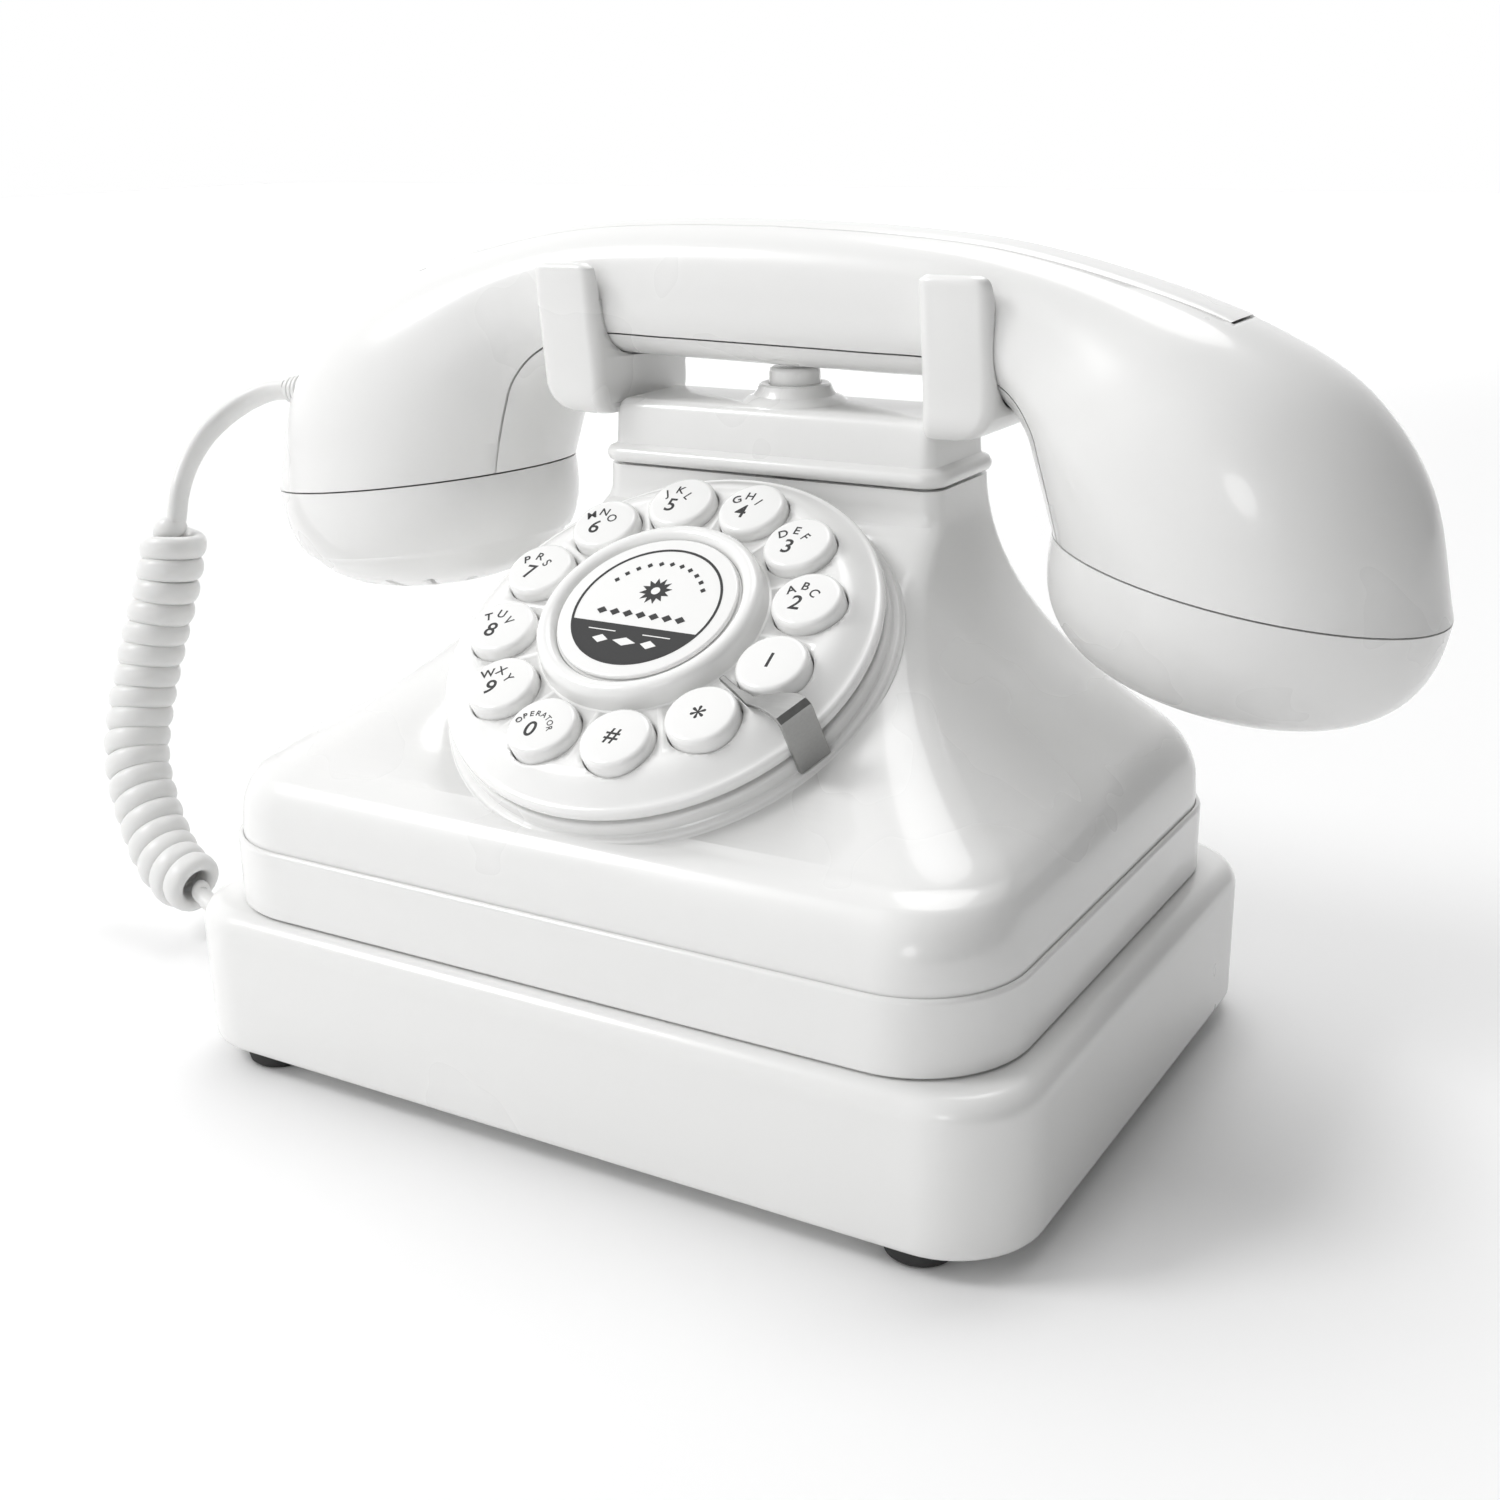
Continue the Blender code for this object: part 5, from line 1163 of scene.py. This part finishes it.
def key_glyphs(text, letters):
    """A lone sign in the middle of its key, or a digit with its letters in an arc over it."""
    digit, letter = sizes().digit_size, sizes().letter_size
    if text == "*":
        return [(text, 5.6 * MM, -0.3 * MM, -1.1 * MM, 0)]
    if not letters:
        return [(text, digit, -0.3 * MM, 0, 0)]
    digit_x, digit_y = -1.2 * MM, -1.45 * MM
    glyphs = [(text, digit, digit_x, digit_y, 0)]
    three = len(letters) == 3
    small, spread, middle = (letter, 39, 88) if three else (0.62 * letter, 20, 84)
    for k, one in enumerate(letters):
        angle = math.radians(middle - spread * (k - (len(letters) - 1) / 2))
        reach = (3.7 if three and k == 1 else 3.3) * MM
        x, y = digit_x + reach * math.cos(angle), digit_y + reach * math.sin(angle)
        glyphs.append((one, small, x, y, 0.8 * (angle - math.pi / 2)))
    return glyphs


class PHONE_OT_keys(bpy.types.Operator):
    """Twelve keys with their printed digits and letters"""
    bl_idname = "phone.keys"
    bl_label = "Keys"

    def execute(self, context):
        skirt, flange = PLATE_BACK - GAP, KEY_RADIUS + 0.6 * MM
        profile = [(0, KEY_FLANGE_BACK), (flange, KEY_FLANGE_BACK), (flange, skirt), (KEY_RADIUS, skirt)]
        profile += fillet(KEY_RADIUS, KEY_TOP - KEY_DOME, sizes().key_edge, 8)
        profile += [(KEY_RADIUS * share, KEY_TOP - KEY_DOME * share**2) for share in (0.6, 0.3)]
        profile += [(0, KEY_TOP)]
        height = Matrix.Translation((0, 0, KEY_TOP - KEY_DOME * 0.2))
        for name, x, y in key_places():
            place = DIAL @ Matrix.Translation((x, y, 0))
            body = "key_" + name
            key = shape(body + "_skin", lambda bm: turned(bm, profile, 64), key_material(), place)
            settle(key, body, "key_abs", body)
            printing = lettering(body + "_print", key_glyphs(*KEY_LEGENDS[name]), place @ height)
            settle(printing, body, "black_rubber")
        return {"FINISHED"}


# ---------------------------------------------------------------- cord

def path_length(points):
    return sum((b - a).length for a, b in zip(points, points[1:]))


def even_points(route, step):
    """Evenly spaced points on the smooth curve through a route given in millimetres."""
    fine = [Vector(smooth_between(route, i / 400)) * MM for i in range(401)]
    length = path_length(fine)
    count = max(2, round(length / step))
    points, travelled = [fine[0]], 0.0
    for a, b in zip(fine, fine[1:]):
        leg = (b - a).length
        while leg and len(points) < count and travelled + leg >= len(points) * length / count:
            points.append(a.lerp(b, (len(points) * length / count - travelled) / leg))
        travelled += leg
    points.append(fine[-1])
    return points


def cord_path(turns, thickness):
    """Centreline of the cord and, at each of its points, the direction of the cord's thin side."""
    around = 28  # points in one turn
    coil_length = path_length(even_points(COIL_ROUTE, 1 * MM))
    tail, lower = even_points(TAIL_ROUTE, 1.2 * MM), even_points(LOWER_ROUTE, 1.2 * MM)
    coil = even_points(COIL_ROUTE, coil_length / (turns * around))
    axis = tail[:-1] + coil + lower[1:]
    start, end = len(tail) - 1, len(tail) - 1 + len(coil) - 1
    tangents = []
    for i in range(len(axis)):
        span = 3 if start - 8 <= i <= end + 8 else 1
        tangents.append((axis[min(i + span, len(axis) - 1)] - axis[max(i - span, 0)]).normalized())
    side = tangents[0].orthogonal().normalized()
    radius = COIL_RADIUS - thickness / 2
    ramp = around * 0.8
    points, outward = [], []
    for i, (place, tangent) in enumerate(zip(axis, tangents)):
        side = (side - tangent * side.dot(tangent)).normalized()
        other = tangent.cross(side)
        turn = 2 * math.pi * (min(max(i, start), end) - start) / around
        direction = side * math.cos(turn) + other * math.sin(turn)
        near = min(max(min(i - start, end - i) / ramp, 0.0), 1.0)
        points.append(place + direction * radius * near * near * (3 - 2 * near))
        outward.append(direction)
    return points, outward


def flat_tube(bm, points, outward, width, thickness):
    """Sweeps a flat section with round edges along a path."""
    rings = []
    for i, (place, direction) in enumerate(zip(points, outward)):
        along = (points[min(i + 1, len(points) - 1)] - points[max(i - 1, 0)]).normalized()
        thin = (direction - along * direction.dot(along)).normalized()
        wide = along.cross(thin)
        ring = []
        for k in range(16):
            angle = 2 * math.pi * k / 16
            cos, sin = math.cos(angle), math.sin(angle)
            across = wide * width / 2 * math.copysign(abs(cos) ** 0.9, cos)
            ring.append(place + across + thin * thickness / 2 * math.copysign(abs(sin) ** 0.9, sin))
        rings.append(ring)
    loft(bm, rings)


def relief_profile():
    """The strain relief: a collar, then three rings that taper."""
    profile = [(0, -3.5 * MM), (2.6 * MM, -3.5 * MM), (2.6 * MM, 0.9 * MM), (3.4 * MM, 0.9 * MM)]
    profile += [(3.75 * MM, 1.2 * MM), (3.75 * MM, 2.0 * MM), (3.3 * MM, 2.4 * MM)]
    for k in range(3):
        z, radius = (2.7 + 1.35 * k) * MM, (3.35 - 0.28 * k) * MM
        profile += [(radius - 0.45 * MM, z), (radius, z + 0.25 * MM)]
        profile += [(radius, z + 0.85 * MM), (radius - 0.5 * MM, z + 1.1 * MM)]
    return profile + [(2.4 * MM, 6.9 * MM), (0, 6.9 * MM)]


class PHONE_OT_cord(bpy.types.Operator):
    """Curly flat cord with its strain relief and plug"""
    bl_idname = "phone.cord"
    bl_label = "Cord"

    def execute(self, context):
        width, thickness = sizes().cord_width, sizes().cord_thickness
        vinyl = cord_material()
        relief = shape("cord_relief_skin", lambda bm: turned(bm, relief_profile(), 48), vinyl, RELIEF)
        settle(relief, "handset", "white_pvc", "cord_relief")
        clear = material("clear_polycarbonate", clear_polycarbonate, linear("#E9ECEC"))
        plug = shape("cord_plug_skin", self.plug, clear)
        settle(plug, "base", "clear_plug", "cord_plug")
        points, outward = cord_path(sizes().cord_turns, thickness)
        cord = shape("curly_cord", lambda bm: flat_tube(bm, points, outward, width, thickness), vinyl,
                     Matrix.Identity(4), 50)
        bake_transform(cord)
        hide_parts("cord_tail", "cord_coil", "cord_lower_tail")
        return {"FINISHED"}

    def plug(self, bm):
        """Modular plug: a clear block with rounded ends."""
        rear, front = PLUG_TIP_X - 13 * MM, PLUG_TIP_X + 8.5 * MM
        low, high = JACK_Z - 3.1 * MM, JACK_Z + 3.1 * MM
        near, far = JACK_Y - 3.2 * MM, JACK_Y + 3.2 * MM
        levels = [(rear, 0.7 * MM), (rear + 0.6 * MM, 0.2 * MM), (rear + 4 * MM, 0), (front - 0.5 * MM, 0)]
        rings = []
        for x, inset in levels + [(front, 0.4 * MM)]:
            outline = rounded_rectangle(near + inset, far - inset, low + inset, high - inset, 0.5 * MM, 4)
            rings.append([(x, y, z) for y, z in outline])
        loft(bm, rings)


# ---------------------------------------------------------------- what the frame itself shows

class PHONE_OT_inside(bpy.types.Operator):
    """Finishes for the pieces of the frame that stay as they are"""
    bl_idname = "phone.inside"
    bl_label = "Inner pieces"

    def execute(self, context):
        laminate = material("green_glass_epoxy", board_laminate, linear("#1F5A3C"))
        black = material("black_abs_grained", grey_abs, linear("#232324"))
        grey = material("grey_abs_grained", grey_abs, linear("#8C8C8C"))
        silicone = material("grey_silicone", dome_rubber, linear("#B5B5B5"))
        zinc = zinc_material()
        finishes = {
            "main_board": laminate, "key_board": laminate, "ring_speaker": black, "hook_switch": black,
            "receiver_capsule": black, "microphone_capsule": black, "line_jack": grey, "cord_jack": grey,
            "hook_bracket": grey, "key_mat": silicone, "dial_screw": zinc, "hook_spring": zinc,
            "handset_weight": zinc, "board_screw_1": zinc, "board_screw_2": zinc,
        }
        for name, surface in finishes.items():
            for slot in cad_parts[name].material_slots:
                slot.material = surface
        return {"FINISHED"}


# ---------------------------------------------------------------- stage

class PHONE_OT_stage(bpy.types.Operator):
    """Pale floor, soft studio lights and the camera"""
    bl_idname = "phone.stage"
    bl_label = "Stage"

    def execute(self, context):
        paper = material("studio_paper", matt_backdrop, colours().floor)
        bm = bmesh.new()
        bmesh.ops.create_grid(bm, x_segments=1, y_segments=1, size=3.0)
        floor = mesh_object("studio_floor", bm, paper)
        self.light("key_light", (-0.85, -0.55, 1.05), 0.45, 6.8)
        self.light("top_light", (-0.1, 0.5, 1.15), 0.7, 4.0)
        self.light("front_light", (0.35, -1.2, 0.45), 0.3, 1.0)
        self.light("backdrop_light", (-1.4, 2.3, 1.7), 2.4, 55, 75)
        self.tent()
        bpy.context.scene.view_settings.view_transform = "Standard"
        self.camera()
        return {"FINISHED"}

    def tent(self):
        """White tent round the table, open towards the right, where the light falls off."""
        world = bpy.data.worlds.new("studio_tent")
        bpy.context.scene.world = world
        world.use_nodes = True
        tree = world.node_tree
        direction = add_node(tree, "ShaderNodeTexCoord", {}).outputs["Generated"]
        parts = add_node(tree, "ShaderNodeSeparateXYZ", {"Vector": direction})
        fall = add_node(tree, "ShaderNodeMapRange", {
            "Value": parts.outputs["X"], "From Min": -0.1, "From Max": 0.5, "To Min": 1.0, "To Max": 0.12})
        tree.links.new(fall.outputs["Result"], tree.nodes["Background"].inputs["Strength"])
        tree.nodes["Background"].inputs["Color"].default_value = (*linear("#FFFFFF"), 1)

    def light(self, name, place, size, power, spread=180):
        lamp = bpy.data.lights.new(name, "AREA")
        lamp.shape = "DISK"
        lamp.size = size
        lamp.energy = power
        lamp.spread = math.radians(spread)
        obj = bpy.data.objects.new(name, lamp)
        bpy.context.scene.collection.objects.link(obj)
        obj.location = place
        # The backdrop's lamp, far behind the phone, points straight down; the others point at the phone
        aim = Vector((place[0], place[1], 0)) if place[1] > 1 else Vector((0, 0, 0.06))
        obj.rotation_euler = (Vector(place) - aim).to_track_quat("Z", "Y").to_euler()

    def camera(self):
        azimuth, height, roll = math.radians(30.677), math.radians(18.816), math.radians(0.978)
        place = Vector((167.54 * MM, -273.01 * MM, 158.38 * MM + FOOT_HEIGHT))
        level = math.cos(height)
        back = Vector((math.sin(azimuth) * level, -math.cos(azimuth) * level, math.sin(height)))
        right = (-back).cross(Vector((0, 0, 1))).normalized()
        up = back.cross(right)
        turned_right = right * math.cos(roll) - up * math.sin(roll)
        turned_up = right * math.sin(roll) + up * math.cos(roll)
        lens = bpy.data.cameras.new("camera")
        lens.sensor_width = 36
        lens.lens = 45.94
        lens.clip_start = 0.01
        obj = bpy.data.objects.new("camera", lens)
        bpy.context.scene.collection.objects.link(obj)
        rotation = Matrix((turned_right, turned_up, back)).transposed().to_4x4()
        obj.matrix_world = Matrix.Translation(place) @ rotation
        bpy.context.scene.camera = obj


# ---------------------------------------------------------------- add-on

OPERATORS = (
    PHONE_OT_stage, PHONE_OT_cord, PHONE_OT_tray, PHONE_OT_housing, PHONE_OT_cradle, PHONE_OT_dial,
    PHONE_OT_keys, PHONE_OT_handset, PHONE_OT_inside,
)


class PHONE_PT_panel(bpy.types.Panel):
    """Sizes, colours and building steps"""
    bl_label = "Retro Desk Telephone"
    bl_idname = "PHONE_PT_panel"
    bl_space_type = "VIEW_3D"
    bl_region_type = "UI"
    bl_category = "Telephone"

    def draw(self, context):
        for group in (context.scene.phone_sizes, context.scene.phone_colours):
            for name in group.__annotations__:
                self.layout.prop(group, name)
        for operator in OPERATORS:
            self.layout.operator(operator.bl_idname)


CLASSES = (PhoneSizes, PhoneColours, *OPERATORS, PHONE_PT_panel)


def register():
    for item in CLASSES:
        bpy.utils.register_class(item)
    bpy.types.Scene.phone_sizes = PointerProperty(type=PhoneSizes)
    bpy.types.Scene.phone_colours = PointerProperty(type=PhoneColours)


def unregister():
    del bpy.types.Scene.phone_colours
    del bpy.types.Scene.phone_sizes
    for item in reversed(CLASSES):
        bpy.utils.unregister_class(item)


def main():
    register()
    for operator in OPERATORS:
        group, name = operator.bl_idname.split(".")
        getattr(getattr(bpy.ops, group), name)()


if __name__ == "__main__":
    main()
